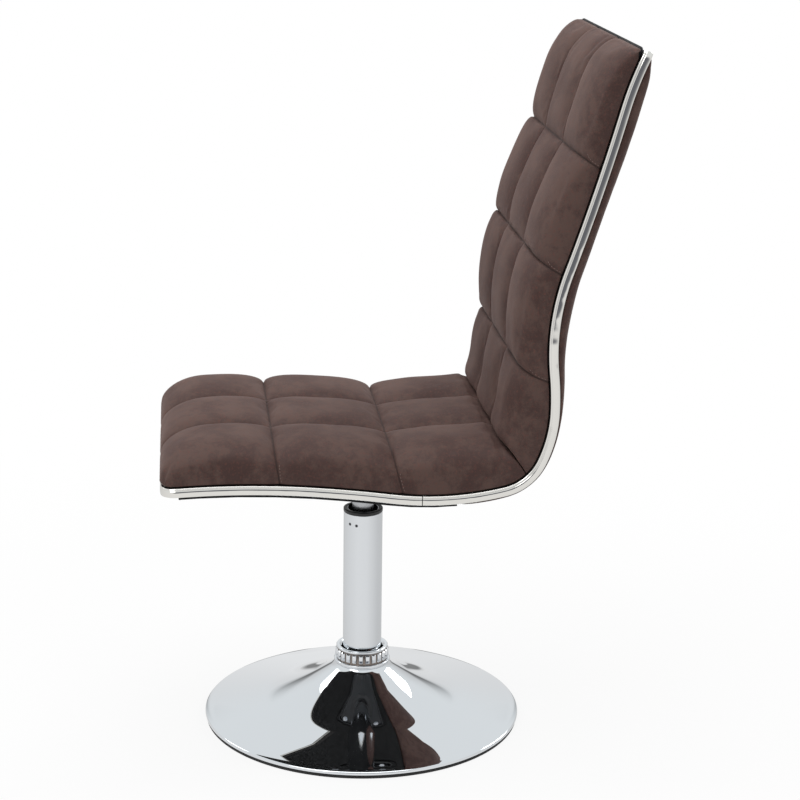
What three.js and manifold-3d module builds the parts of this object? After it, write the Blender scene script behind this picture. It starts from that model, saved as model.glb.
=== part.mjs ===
// Swivel dining chair: tufted seat and back on one bent board, a turning column and a flared round base.
// Millimetres, +Z up. The origin is on the floor, on the swivel axis. The chair faces -Y, so +X is
// the sitter's left. A place on the board is given by its run, the length along the board's side line
// from the front edge over the seat and up the back, and its height off that line, towards the sitter.

import * as THREE from 'three';
import { mergeVertices } from 'three/addons/utils/BufferGeometryUtils.js';
import Module from 'manifold-3d';

const wasm = await Module();
wasm.setup();

const degree = Math.PI / 180;
const { lerp, clamp } = THREE.MathUtils;

// Clearances, and the number of sides of round pieces
const gap = 0.3;
const runningGap = 0.25;
const overrun = 2;
const weld = 0.001;
const sides = { base: 48, column: 28, small: 12, cord: 6 };

// Base: a black ring on the floor, a spun disc with a steep neck, and a weight that hides inside it
const floorRing = { height: 4.5, width: 9, inset: 1.5 };
const disc = {
  rimRadius: 205,
  beadHeight: 4.4,
  beadRound: 1.4,
  sheet: 2.5,
  outerSlope: 13.6 * degree,
  neckSlope: 32.5 * degree,
  bendRadius: 108,
  bendRound: 134,
  bendSteps: 3,
  neckRadius: 37,
  neckTopRadius: 34.6,
  neckTopRise: 4,
};
const ballast = {
  rimInset: 9,
  rimThickness: 2.6,
  stepInset: 33,
  thickness: 7.5,
  hubRadius: 58,
  hubThickness: 12.5,
  recessRadius: 17,
  recessDepth: 6.5,
};

// Cast collar round the tube: a flange, a band of bevelled blocks and a plain top
const collar = {
  boreRadius: 26.8,
  flangeRadius: 36.4,
  flangeHeight: 4.6,
  bandRadius: 32.4,
  bandHeight: 15,
  topRadius: 33.4,
  topHeight: 3,
  edgeRound: 0.8,
  blockCount: 24,
  blockDepth: 2.3,
  blockSpace: 2,
  blockMargin: 0.9,
  blockRoot: 0.8,
};
const blockTopShare = 0.72;

// Column: the chromed tube with its guide bush and clips, and the washer that the seat turns on
const tube = { radius: 25, wall: 2.5, height: 261.4 };
const bush = {
  flangeRadius: 25.3,
  flangeHeight: 4.2,
  flangeRound: 0.9,
  bodyLength: 58,
  recessRadius: 21,
  recessDepth: 7,
};
const clip = { thickness: 1.1, standOff: 0.5, halfAngle: 24 * degree, height: 6.4 };
const thrustWasher = { radius: 20.5, thickness: 2.5 };

// Spindle with the nut that keeps it down, and the hub that it carries under the seat
const spindle = { radius: 14, wall: 2, floor: 8, journalRadius: 6, journalLength: 15.6, chamfer: 1.2 };
const nutWasher = { radius: 11, thickness: 1.6 };
const nut = { radius: 9.6, thickness: 3.6 };
const hub = { wall: 5, length: 30, cap: 3, drop: 2.6, chamfer: 1.5 };

// Seat plate: pressed steel with turned-down edges, a dished boss and a raised channel to one side
const plate = {
  halfLength: 76,
  halfWidth: 70,
  thickness: 3,
  corner: 12,
  lipDepth: 6,
  bossRadius: 50,
  bossFootRadius: 30,
  bossDepth: 12,
  channelHalfWidth: 17,
  channelDepth: 5,
};
const bolt = {
  acrossHalf: 58,
  alongHalf: 52,
  radius: 4,
  tipSunk: 0.5,
  flangeRadius: 8,
  flangeHeight: 1.6,
  headRadius: 6.4,
  headHeight: 4.4,
};
const teeNut = { radius: 5.6, length: 8, flangeRadius: 9, flange: 1.5, sunk: 0.6 };

// Side line of the board: where it starts and how it bends, from the front edge to the top
const lineStart = { y: -257, overBush: 82.8, tilt: 4.35 * degree };
const seatFront = { run: 185.2, turn: -9.3 * degree };
const seatMiddle = { run: 89.3, turn: -3 * degree };
const seatRear = { run: 137.8, turn: 20.9 * degree };
const seatCorner = { run: 57.2, turn: 52.3 * degree };
const loin = { run: 63.7, turn: 23.5 * degree };
const lumbarLow = { run: 47.2, turn: 7.9 * degree };
const lumbarTop = { run: 124.3, turn: -25.9 * degree };
const backMiddle = { run: 199, turn: 4.1 * degree };
const backTop = { run: 69.6, turn: -10.6 * degree };
const bends = [
  seatFront, seatMiddle, seatRear, seatCorner, loin, lumbarLow, lumbarTop, backMiddle, backTop,
];
const facet = { turn: 5 * degree, length: 50 };

// Board, the black board below it, the chrome strip on its edge and the piping inside the strip
const board = { halfWidth: 180.7, thickness: 10, frontCorner: 15, topCorner: 8, cornerSteps: 4 };
const underBoard = { thickness: 10.4, inset: 17, milled: 2.4 };
const underBoardEndShare = 0.863;
const strip = {
  depth: 6,
  height: 12,
  edgeRound: 1.4,
  grooveHeight: 7.4,
  grooveDepth: 0.8,
  grooveWidth: 1,
  jointGap: 1,
};
const stripJointShare = 0.757;
const piping = { radius: 2.2, topRise: 2.55 };
const creaseEdgeShare = 0.59;
const creaseTopShare = 0.886;

// Lines of a cushion between two seams, and how full a tuft is between them
const tuftShares = [0, 0.05, 0.15, 0.325, 0.5, 0.675, 0.85, 0.95];
const wideTuftShares = [0, 0.06, 0.22, 0.5, 0.78, 0.94];
const columnShares = [-1, -1 / 3, 1 / 3, 1];
const pillowPower = 3;

// Cushions: how far they stand over the board's side, how they draw in at the piping, and how they
// roll over at each edge
const cushion = { overhang: 5.5, drawIn: 10.5, swellIn: 1.5, swellRise: 1, seamDepth: 8 };
const frontRoll = { length: 58, level: 0.27 };
const sideRoll = { length: 60, level: 0.72 };
const creaseSpace = { edge: 0.4, top: 2.5 };

const seatPad = { start: 0.8, corner: 20, creaseRoll: { length: 62, level: 0.8 } };
const seatTopShares = [0, 0.285, 0.579, 1];
const seatEdgeShares = [0, 0.316, 0.648, 1];
const seatCrownShares = [0, 0.22, 0.42, 0.53, 0.65, 0.74, 0.87, 1];
const seatCrownHeights = [52, 54, 55.5, 57.5, 61.5, 64, 61, 56];

const backPad = { rimInset: 0.5, corner: 13, creaseRoll: { length: 26, level: 0.82 } };
const backTopShares = [0, 0.257, 0.478, 0.741, 1];
const backEdgeShares = [0, 0.235, 0.48, 0.729, 1];
const backDrawInShare = 0.45;
const backCrownShares = [0, 0.1, 0.17, 0.255, 0.3, 0.4, 0.48, 0.565, 0.65, 0.74, 0.83, 0.91, 1];
const backCrownHeights = [59, 58, 56, 49.5, 45.5, 46, 48, 50, 47.5, 44.5, 42.5, 41, 40];

// Rear panel: a thin pad on the hidden side of the board, from below the seat nearly to the top
const rearPad = {
  overhang: 3.3,
  topInset: 3,
  corner: 16,
  drawIn: 4.5,
  drawLength: 12,
  swellIn: 0.5,
  swellRise: 0.9,
  sideRoll: { length: 46, level: 0.6 },
  lowRoll: { length: 22, level: 0.8 },
  topRoll: { length: 40, level: 0.5 },
};
const rearStartShare = 0.87;
const rearColumnShares = [-1, -0.93, -0.8, -0.45, 0, 0.45, 0.8, 0.93, 1];
const rearCrownShares = [0, 0.12, 0.25, 0.3, 0.36, 0.42, 0.5, 0.7, 0.9, 1];
const rearCrownHeights = [11, 10.5, 10, 12.5, 16.5, 20.5, 23, 21, 22, 17];

const materials = {
  chrome: new THREE.MeshStandardMaterial({ color: 0xd6d9dc, roughness: 0.06, metalness: 1 }),
  tubeChrome: new THREE.MeshStandardMaterial({ color: 0xd3d6da, roughness: 0.18, metalness: 1 }),
  steel: new THREE.MeshStandardMaterial({ color: 0x9a9c9f, roughness: 0.35, metalness: 1 }),
  zinc: new THREE.MeshStandardMaterial({ color: 0xb9bcc0, roughness: 0.3, metalness: 1 }),
  blackSteel: new THREE.MeshStandardMaterial({ color: 0x1b1c1f, roughness: 0.45, metalness: 0.4 }),
  castIron: new THREE.MeshStandardMaterial({ color: 0x2f3033, roughness: 0.7, metalness: 0.6 }),
  nylon: new THREE.MeshStandardMaterial({ color: 0x1c1c1d, roughness: 0.5, metalness: 0 }),
  rubber: new THREE.MeshStandardMaterial({ color: 0x151516, roughness: 0.75, metalness: 0 }),
  vinyl: new THREE.MeshStandardMaterial({ color: 0x19181a, roughness: 0.5, metalness: 0 }),
  blackBoard: new THREE.MeshStandardMaterial({ color: 0x17171a, roughness: 0.9, metalness: 0 }),
  blackPly: new THREE.MeshStandardMaterial({ color: 0x1e1c1b, roughness: 0.7, metalness: 0 }),
  suede: new THREE.MeshStandardMaterial({ color: 0x4a3731, roughness: 0.85, metalness: 0 }),
};

// Solids

function solid(geometry) {
  geometry.deleteAttribute('normal');
  geometry.deleteAttribute('uv');
  const merged = mergeVertices(geometry, weld);
  const vertProperties = new Float32Array(merged.attributes.position.array);
  const triVerts = new Uint32Array(merged.index.array);
  return new wasm.Manifold(new wasm.Mesh({ numProp: 3, vertProperties, triVerts }));
}

function shapeOf(manifold) {
  const mesh = manifold.getMesh();
  const geometry = new THREE.BufferGeometry();
  geometry.setAttribute('position', new THREE.BufferAttribute(new Float32Array(mesh.vertProperties), 3));
  geometry.setIndex(new THREE.BufferAttribute(new Uint32Array(mesh.triVerts), 1));
  return geometry;
}

// A body from points and triangles, turned so that all its faces look outwards.
function bodyOf(points, index) {
  const volume = points.length && index.reduce((sum, at, i) => (
    i % 3 ? sum : sum + points[at].dot(points[index[i + 1]].clone().cross(points[index[i + 2]]))
  ), 0);
  const geometry = new THREE.BufferGeometry().setFromPoints(points);
  geometry.setIndex(volume < 0 ? index.slice().reverse() : index);
  return geometry;
}

// A body of revolution about Z. The profile is a list of [radius, z], run anticlockwise.
function revolve(profile, segments) {
  const points = profile.map(([radius, z]) => new THREE.Vector2(radius, z));
  if (profile[0][0] !== 0) points.push(points[0].clone());
  return new THREE.LatheGeometry(points, segments).rotateX(Math.PI / 2);
}

function ring(inner, outer, low, high, segments) {
  return revolve([[inner, low], [outer, low], [outer, high], [inner, high]], segments);
}

function rod(radius, low, high, segments) {
  return revolve([[0, low], [radius, low], [radius, high], [0, high]], segments);
}

function hexagon(radius, low, high) {
  return rod(radius, low, high, 6);
}

// A body drawn through loops of points, with flat ends.
function loft(loops) {
  const count = loops[0].length;
  const index = [];
  for (let i = 0; i + 1 < loops.length; i++) {
    for (let j = 0; j < count; j++) {
      const a = i * count + j;
      const b = i * count + ((j + 1) % count);
      index.push(a, b, b + count, a, b + count, a + count);
    }
  }
  const last = (loops.length - 1) * count;
  for (const [a, b, c] of capOf(loops[0])) index.push(a, c, b);
  for (const [a, b, c] of capOf(loops.at(-1))) index.push(last + a, last + b, last + c);
  return bodyOf(loops.flat(), index);
}

// Triangles that close a flat loop, in the loop's own order.
function capOf(loop) {
  const origin = loop[0];
  const u = loop[1].clone().sub(origin).normalize();
  const normal = new THREE.Vector3();
  loop.forEach((point, i) => {
    const next = loop[(i + 1) % loop.length];
    normal.add(point.clone().sub(origin).cross(next.clone().sub(origin)));
  });
  const v = normal.normalize().cross(u);
  const flat = loop.map((point) => {
    const arm = point.clone().sub(origin);
    return new THREE.Vector2(arm.dot(u), arm.dot(v));
  });
  return THREE.ShapeUtils.triangulateShape(flat, []);
}

// A flat outline pushed up along Z.
function slab(outline, low, high) {
  const shape = new THREE.Shape(outline.map(([x, y]) => new THREE.Vector2(x, y)));
  const depth = high - low;
  return new THREE.ExtrudeGeometry(shape, { depth, bevelEnabled: false }).translate(0, 0, low);
}

function roundedRectangle(halfX, halfY, radius) {
  const steps = 3;
  const outline = [];
  for (let quarter = 0; quarter < 4; quarter++) {
    const signX = quarter === 0 || quarter === 3 ? 1 : -1;
    const signY = quarter < 2 ? 1 : -1;
    for (let i = 0; i <= steps; i++) {
      const angle = (quarter + i / steps) * Math.PI / 2;
      const x = signX * (halfX - radius) + radius * Math.cos(angle);
      outline.push([x, signY * (halfY - radius) + radius * Math.sin(angle)]);
    }
  }
  return outline;
}

// A value on the smooth line through the given ones, which stand at shares of the whole.
function smoothValue(shares, values, share) {
  const at = clamp(share, 0, 1);
  let k = 0;
  while (k + 2 < shares.length && at > shares[k + 1]) k += 1;
  const slope = (i) => {
    const before = Math.max(i - 1, 0);
    const after = Math.min(i + 1, shares.length - 1);
    return (values[after] - values[before]) / (shares[after] - shares[before]);
  };
  const width = shares[k + 1] - shares[k];
  const t = (at - shares[k]) / width;
  const startPull = t * (1 - t) ** 2 * width * slope(k);
  const endPull = t ** 2 * (t - 1) * width * slope(k + 1);
  return lerp(values[k], values[k + 1], t * t * (3 - 2 * t)) + startPull + endPull;
}

// The board's side line

const totalRun = bends.reduce((sum, bend) => sum + bend.run, 0);
const seatRun = seatFront.run + seatMiddle.run + seatRear.run;
const creaseEdgeRun = seatRun + creaseEdgeShare * seatCorner.run;
const creaseTopRun = seatRun + creaseTopShare * seatCorner.run;
const jointRun = stripJointShare * seatRun;
const boardStart = strip.depth + gap;
const faceHeight = board.thickness / 2;
const padLow = faceHeight + gap;

function sinc(angle) {
  return angle === 0 ? 1 : Math.sin(angle) / angle;
}

// Place and heading of the side line at a run. Past its ends the line goes straight on.
function lineAt(run) {
  let { y, tilt: heading } = lineStart;
  let z = bushTop + lineStart.overBush;
  let left = run;
  const advance = (length, turn) => {
    const chord = length * sinc(turn / 2);
    y += chord * Math.cos(heading + turn / 2);
    z += chord * Math.sin(heading + turn / 2);
    heading += turn;
    left -= length;
  };
  if (left < 0) advance(left, 0);
  for (const bend of bends) {
    const length = clamp(left, 0, bend.run);
    advance(length, bend.turn * length / bend.run);
  }
  advance(left, 0);
  return { y, z, heading };
}

function onBoard(x, run, height) {
  const { y, z, heading } = lineAt(run);
  return new THREE.Vector3(x, y - height * Math.sin(heading), z + height * Math.cos(heading));
}

// Runs at which the board is bent from facet to facet, the same for every piece that follows it.
function facetRuns() {
  let start = 0;
  return bends.flatMap(({ run, turn }) => {
    const steps = Math.ceil(Math.max(Math.abs(turn) / facet.turn, run / facet.length));
    const from = start;
    start += run;
    return Array.from({ length: steps }, (_, i) => from + run * (i + 1) / steps);
  });
}

function runsBetween(from, to) {
  return [from, ...facetRuns().filter((run) => run > from + gap && run < to - gap), to];
}

// Stations along one side of the board, each with its x, its run and the way out of the board.
function sideStations(side, from, to) {
  return runsBetween(from, to).map((run) => ({ x: side * board.halfWidth, run, outX: side, outRun: 0 }));
}

// Stations from one side round the front edge, or round the top edge, to the other side.
function aroundEnd(sideRun, atTop) {
  const radius = atTop ? board.topCorner : board.frontCorner;
  const cornerRun = atTop ? totalRun - radius : boardStart + radius;
  const half = atTop ? sideStations(1, sideRun, cornerRun) : sideStations(1, cornerRun, sideRun).reverse();
  for (let i = 1; i <= board.cornerSteps; i++) {
    const angle = (i / board.cornerSteps) * Math.PI / 2;
    const outX = Math.cos(angle);
    const outRun = (atTop ? 1 : -1) * Math.sin(angle);
    const x = board.halfWidth - radius + radius * outX;
    half.push({ x, run: cornerRun + radius * outRun, outX, outRun });
  }
  const mirrored = half.map((s) => ({ ...s, x: -s.x, outX: -s.outX })).reverse();
  return [...half, ...mirrored];
}

// A section of [out, height] points carried along stations of the edge.
function edging(stations, section) {
  return loft(stations.map((s) => section.map(([out, height]) => (
    onBoard(s.x + out * s.outX, s.run + out * s.outRun, height)
  ))));
}

// A sheet between two heights over the board's plan, from a side run to the end of the board.
function planSheet(stations, low, high, inset) {
  const loops = [];
  for (let i = 0; 2 * i < stations.length; i++) {
    const { x, run, outX, outRun } = stations[i];
    const half = x - inset * outX;
    const place = run - inset * outRun;
    loops.push([[-half, low], [half, low], [half, high], [-half, high]].map(([across, height]) => (
      onBoard(across, place, height)
    )));
  }
  return loft(loops);
}

// The run at which the side line of the seat passes over a given y.
function runOver(y) {
  let low = 0;
  let high = seatRun;
  for (let i = 0; i < 40; i++) {
    const middle = (low + high) / 2;
    if (lineAt(middle).y < y) low = middle;
    else high = middle;
  }
  return low;
}

// Base pieces

// Upper line of the disc from the rim to the neck, lowered square to itself by a depth.
function discLine(depth) {
  const coneRadius = disc.rimRadius - disc.beadRound;
  const rimZ = floorRing.height + disc.beadHeight;
  const bendZ = rimZ + (coneRadius - disc.bendRadius) * Math.tan(disc.outerSlope);
  const line = [[coneRadius, rimZ, disc.outerSlope]];
  for (let i = 0; i <= disc.bendSteps; i++) {
    const slope = lerp(disc.outerSlope, disc.neckSlope, i / disc.bendSteps);
    const radius = disc.bendRadius - disc.bendRound * (Math.sin(slope) - Math.sin(disc.outerSlope));
    line.push([radius, bendZ + disc.bendRound * (Math.cos(disc.outerSlope) - Math.cos(slope)), slope]);
  }
  const [bentRadius, bentZ] = line.at(-1);
  const neckZ = bentZ + (bentRadius - disc.neckRadius) * Math.tan(disc.neckSlope);
  line.push([disc.neckRadius, neckZ, (disc.neckSlope + Math.PI / 2) / 2]);
  line.push([disc.neckTopRadius, neckZ + disc.neckTopRise, Math.PI / 2]);
  return line.map(([radius, z, slope]) => [radius - depth * Math.sin(slope), z - depth * Math.cos(slope)]);
}

const neckTop = discLine(0).at(-1)[1];
const tubeHole = tube.radius + gap;

// The spun disc: a rolled rim, the flared face, and a neck with a flat inner flange round the tube.
function baseDisc() {
  const low = floorRing.height;
  const beadIn = disc.rimRadius - disc.beadRound;
  const bead = [
    [beadIn - disc.sheet, low],
    [beadIn, low],
    [disc.rimRadius, low + disc.beadRound],
    [disc.rimRadius, low + disc.beadHeight - disc.beadRound],
  ];
  const flange = [[tubeHole, neckTop], [tubeHole, neckTop - disc.sheet]];
  const under = discLine(disc.sheet).reverse();
  under[0] = [under[0][0], neckTop - disc.sheet];
  return revolve([...bead, ...discLine(0), ...flange, ...under], sides.base);
}

function baseFloorRing() {
  const outer = disc.rimRadius - floorRing.inset;
  return ring(outer - floorRing.width, outer, 0, floorRing.height - gap, sides.base);
}

const ballastLow = floorRing.height;
const ballastTop = ballastLow + ballast.hubThickness;
const recessTop = ballastLow + ballast.recessDepth;
const journalHole = spindle.journalRadius + runningGap;

// The weight inside the disc. The tube stands on it, and the spindle's nut sits in its recess.
function baseBallast() {
  const rimRadius = disc.rimRadius - ballast.rimInset;
  const stepRadius = disc.rimRadius - ballast.stepInset;
  return revolve([
    [journalHole, recessTop],
    [ballast.recessRadius, recessTop],
    [ballast.recessRadius, ballastLow],
    [rimRadius, ballastLow],
    [rimRadius, ballastLow + ballast.rimThickness],
    [stepRadius, ballastLow + ballast.rimThickness],
    [stepRadius, ballastLow + ballast.thickness],
    [ballast.hubRadius, ballastLow + ballast.thickness],
    [ballast.hubRadius, ballastTop],
    [journalHole, ballastTop],
  ], sides.base);
}

// The collar's ring, then one bevelled block after another round its band.
function baseCollar() {
  const low = neckTop + gap;
  const bandLow = low + collar.flangeHeight;
  const bandTop = bandLow + collar.bandHeight;
  const top = bandTop + collar.topHeight;
  const round = collar.edgeRound;
  let body = solid(revolve([
    [collar.boreRadius, low],
    [collar.flangeRadius - round, low],
    [collar.flangeRadius, low + round],
    [collar.flangeRadius, bandLow - round],
    [collar.flangeRadius - round, bandLow],
    [collar.bandRadius, bandLow],
    [collar.bandRadius, bandTop],
    [collar.topRadius, bandTop + round],
    [collar.topRadius - round, top],
    [collar.boreRadius, top],
  ], sides.base));
  for (let i = 0; i < collar.blockCount; i++) {
    const angle = 2 * Math.PI * (i + 1 / 2) / collar.blockCount;
    body = body.add(solid(collarBlock((bandLow + bandTop) / 2).rotateZ(angle)));
  }
  return shapeOf(body);
}

function collarBlock(middleZ) {
  const depth = collar.blockDepth + collar.blockRoot;
  const width = 2 * Math.PI * collar.bandRadius / collar.blockCount - collar.blockSpace;
  const block = new THREE.BoxGeometry(depth, width, collar.bandHeight - 2 * collar.blockMargin);
  const place = block.attributes.position;
  for (let i = 0; i < place.count; i++) {
    const share = place.getX(i) > 0 ? blockTopShare : 1;
    place.setXYZ(i, place.getX(i), place.getY(i) * share, place.getZ(i) * share);
  }
  return block.translate(collar.bandRadius - collar.blockRoot + depth / 2, 0, middleZ);
}

// Column pieces

const tubeLow = ballastTop + gap;
const tubeTop = tubeLow + tube.height;
const bushTop = tubeTop + gap + bush.flangeHeight;
const bushRecessLow = bushTop - bush.recessDepth;
const washerLow = ballastTop + gap;
const shoulderZ = washerLow + thrustWasher.thickness + gap;

function columnTube() {
  return ring(tube.radius - tube.wall, tube.radius, tubeLow, tubeTop, sides.column);
}

function columnThrustWasher() {
  const high = washerLow + thrustWasher.thickness;
  return ring(journalHole, thrustWasher.radius, washerLow, high, sides.column);
}

function columnBush() {
  const bore = spindle.radius + runningGap;
  const bodyRadius = tube.radius - tube.wall - gap;
  return revolve([
    [bore, tubeTop - bush.bodyLength],
    [bodyRadius, tubeTop - bush.bodyLength],
    [bodyRadius, tubeTop + gap],
    [bush.flangeRadius, tubeTop + gap],
    [bush.flangeRadius, bushTop - bush.flangeRound],
    [bush.flangeRadius - bush.flangeRound, bushTop],
    [bush.recessRadius, bushTop],
    [bush.recessRadius, bushRecessLow],
    [bore, bushRecessLow],
  ], sides.column);
}

// One sprung clip in the bush's recess, in front of the axis or behind it.
function columnClip(side) {
  const steps = 5;
  const outer = bush.recessRadius - clip.standOff;
  const arc = (radius, from, to) => Array.from({ length: steps + 1 }, (_, i) => {
    const angle = side * Math.PI / 2 + lerp(from, to, i / steps);
    return [radius * Math.cos(angle), radius * Math.sin(angle)];
  });
  const outline = [
    ...arc(outer, -clip.halfAngle, clip.halfAngle),
    ...arc(outer - clip.thickness, clip.halfAngle, -clip.halfAngle),
  ];
  return slab(outline, bushRecessLow + gap, bushRecessLow + gap + clip.height);
}

// The seat plate's plane: along the seat, sunk a little into the black board

const plateFront = onBoard(0, runOver(-plate.halfLength), -(padLow + underBoard.thickness));
const plateRear = onBoard(0, runOver(plate.halfLength), -(padLow + underBoard.thickness));
const plateTilt = Math.atan2(plateRear.z - plateFront.z, plateRear.y - plateFront.y);
const plateTop = (plateFront.z + plateRear.z) / 2 + underBoard.milled;
const hubRadius = spindle.radius + gap + hub.wall;
const hubTop = plateTop - hub.drop - plate.thickness;

function toPlatePlane(geometry) {
  return geometry.rotateX(plateTilt).translate(0, 0, plateTop);
}

// How far the board's upper face lies above the plate's plane, over a place along the plate.
function boardOverPlate(along) {
  const place = onBoard(0, runOver(along), faceHeight);
  return (place.z - plateTop) * Math.cos(plateTilt) - place.y * Math.sin(plateTilt);
}

function boltPlaces() {
  const { acrossHalf, alongHalf } = bolt;
  return [[acrossHalf, -alongHalf], [-acrossHalf, -alongHalf], [acrossHalf, alongHalf], [-acrossHalf, alongHalf]];
}

// Round cutters at the four bolts, in the plate's plane.
function boltCutters(radius, low, high) {
  const cutters = boltPlaces().map(([x, y]) => (
    solid(rod(radius, low, high(y), sides.small).translate(x, y, 0))
  ));
  return cutters.reduce((all, cutter) => all.add(cutter));
}

function movedCutters(radius, low, high) {
  return solid(toPlatePlane(shapeOf(boltCutters(radius, low, high))));
}

// Pieces below the seat, which turn with it

function seatSpindle() {
  const low = shoulderZ - spindle.journalLength;
  const top = hubTop - hub.cap - gap;
  const bore = spindle.radius - spindle.wall;
  return revolve([
    [0, low],
    [spindle.journalRadius, low],
    [spindle.journalRadius, shoulderZ],
    [spindle.radius - spindle.chamfer, shoulderZ],
    [spindle.radius, shoulderZ + spindle.chamfer],
    [spindle.radius, top],
    [bore, top],
    [bore, shoulderZ + spindle.floor],
    [0, shoulderZ + spindle.floor],
  ], sides.column);
}

function seatHub() {
  const bore = spindle.radius + gap;
  const low = hubTop - hub.length;
  return revolve([
    [bore, low],
    [hubRadius - hub.chamfer, low],
    [hubRadius, low + hub.chamfer],
    [hubRadius, hubTop],
    [0, hubTop],
    [0, hubTop - hub.cap],
    [bore, hubTop - hub.cap],
  ], sides.column);
}

const washerHigh = recessTop - gap;

function spindleWasher() {
  const bore = spindle.journalRadius + gap;
  return ring(bore, nutWasher.radius, washerHigh - nutWasher.thickness, washerHigh, sides.column);
}

function spindleNut() {
  const high = washerHigh - nutWasher.thickness - gap;
  const low = high - nut.thickness;
  const hole = rod(spindle.journalRadius + gap, low - overrun, high + overrun, sides.column);
  return shapeOf(solid(hexagon(nut.radius, low, high)).subtract(solid(hole)));
}

// The pressed plate, built in its own plane: z is zero on its upper face, and it is pressed downwards.
function seatPlate() {
  const t = plate.thickness;
  const { halfLength, halfWidth, bossRadius, bossFootRadius, channelHalfWidth } = plate;
  const deep = -t - plate.lipDepth;
  const channelLow = -t - plate.channelDepth;
  const boss = (shrink, low, rim) => solid(revolve([
    [0, low],
    [bossFootRadius - shrink, low],
    ...rim,
    [0, rim.at(-1)[1]],
  ], sides.column));
  const dish = boss(t, -plate.bossDepth, [[bossRadius - t, 0], [bossRadius - t, t]]);
  const block = (reach, half, low, high) => solid(slab([
    [0, -half],
    [reach, -half],
    [reach, half],
    [0, half],
  ], low, high));
  const outer = solid(slab(roundedRectangle(halfWidth, halfLength, plate.corner), deep, 0));
  const inner = solid(slab(roundedRectangle(halfWidth - t, halfLength - t, plate.corner - t), deep - t, -t));
  const pressed = outer
    .subtract(inner)
    .add(block(halfWidth - t / 2, channelHalfWidth, channelLow, -t / 2))
    .add(boss(0, -t - plate.bossDepth, [[bossRadius, -t / 2]]))
    .subtract(block(halfWidth - t, channelHalfWidth - t, channelLow + t, t))
    .subtract(dish)
    .subtract(boltCutters(bolt.radius + gap, deep, () => t));
  const hubHole = rod(hubRadius + gap, hubTop - hub.length, hubTop + hub.length, sides.column);
  return shapeOf(solid(toPlatePlane(shapeOf(pressed))).subtract(solid(hubHole)));
}

function seatBolt([x, y]) {
  const seat = -plate.thickness - gap;
  const flangeLow = seat - bolt.flangeHeight;
  const tip = nutTop(y) - bolt.tipSunk;
  const stem = revolve([
    [0, flangeLow],
    [bolt.flangeRadius, flangeLow],
    [bolt.flangeRadius, seat],
    [bolt.radius, seat],
    [bolt.radius, tip],
    [0, tip],
  ], sides.small);
  const head = hexagon(bolt.headRadius, flangeLow - bolt.headHeight, flangeLow + gap);
  return toPlatePlane(shapeOf(solid(stem).add(solid(head))).translate(x, y, 0));
}

// The top of a bolt's nut: its flange is sunk a little below the board's upper face.
function nutTop(y) {
  const edges = [-1, 1].map((way) => boardOverPlate(y + way * teeNut.flangeRadius));
  return Math.min(...edges) - teeNut.sunk;
}

function seatTeeNut([x, y]) {
  const bore = bolt.radius + gap;
  const top = nutTop(y);
  const flangeLow = top - teeNut.flange;
  return toPlatePlane(revolve([
    [bore, flangeLow - teeNut.length],
    [teeNut.radius, flangeLow - teeNut.length],
    [teeNut.radius, flangeLow],
    [teeNut.flangeRadius, flangeLow],
    [teeNut.flangeRadius, top],
    [bore, top],
  ], sides.small).translate(x, y, 0));
}

// Boards, strips and piping

// The bent board: one half runs to the front edge, the other to the top, and the nuts are sunk in.
function seatBoard() {
  const front = solid(planSheet(aroundEnd(creaseEdgeRun, false), -faceHeight, faceHeight, 0));
  const top = solid(planSheet(aroundEnd(creaseEdgeRun, true), -faceHeight, faceHeight, 0));
  const clear = () => 2 * (underBoard.thickness + board.thickness);
  const flangeSeats = boltPlaces().map(([x, y]) => {
    const low = nutTop(y) - teeNut.flange - gap;
    return solid(toPlatePlane(rod(teeNut.flangeRadius + gap, low, clear(), sides.small).translate(x, y, 0)));
  });
  const bores = movedCutters(teeNut.radius + gap, 0, clear);
  return shapeOf(flangeSeats.reduce((body, cutter) => body.subtract(cutter), front.add(top).subtract(bores)));
}

// The black board below, milled flat where the plate lies.
function seatUnderBoard() {
  const high = -padLow;
  const low = high - underBoard.thickness;
  const end = underBoardEndShare * seatRun;
  const body = solid(planSheet(aroundEnd(end, false), low, high, underBoard.inset));
  const reach = underBoard.thickness;
  const seat = slab(roundedRectangle(plate.halfWidth + reach, plate.halfLength + reach, plate.corner), -reach, gap);
  const bores = movedCutters(teeNut.radius + gap, 0, () => 2 * underBoard.thickness);
  return shapeOf(body.subtract(solid(toPlatePlane(seat))).subtract(bores));
}

// The strip's section: a bead, a groove, the flat face, and a back that lies on the board's edge.
function stripSection() {
  const low = -strip.height / 2;
  const high = strip.height / 2;
  const outer = strip.depth + gap;
  const round = strip.edgeRound;
  const groove = low + strip.grooveHeight;
  return [
    [gap, low],
    [outer - round, low],
    [outer, low + round],
    [outer, groove],
    [outer - strip.grooveDepth, groove + strip.grooveWidth / 2],
    [outer - round / 2, groove + strip.grooveWidth],
    [outer - round / 2, high - round],
    [outer - 2 * round, high],
    [gap, high],
  ];
}

function frontStrip() {
  return edging(aroundEnd(jointRun - strip.jointGap / 2, false), stripSection());
}

function backStrip(side) {
  return edging(sideStations(side, jointRun + strip.jointGap / 2, totalRun), stripSection());
}

function pipingSection() {
  const out = -piping.radius - gap / 2;
  const height = padLow + piping.radius;
  return Array.from({ length: sides.cord }, (_, i) => {
    const angle = (i + 1 / 2) * 2 * Math.PI / sides.cord;
    return [out + piping.radius * Math.cos(angle), height + piping.radius * Math.sin(angle)];
  });
}

// The piping round one cushion. Along the top, where no strip covers it, it stands out over the edge.
function cushionPiping(atTop) {
  const rise = atTop ? piping.topRise : 0;
  const stations = aroundEnd(creaseEdgeRun + (atTop ? gap : -gap), atTop);
  return edging(stations.map((s) => ({ ...s, run: s.run + rise * s.outRun })), pipingSection());
}

// Cushions and the rear panel

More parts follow.
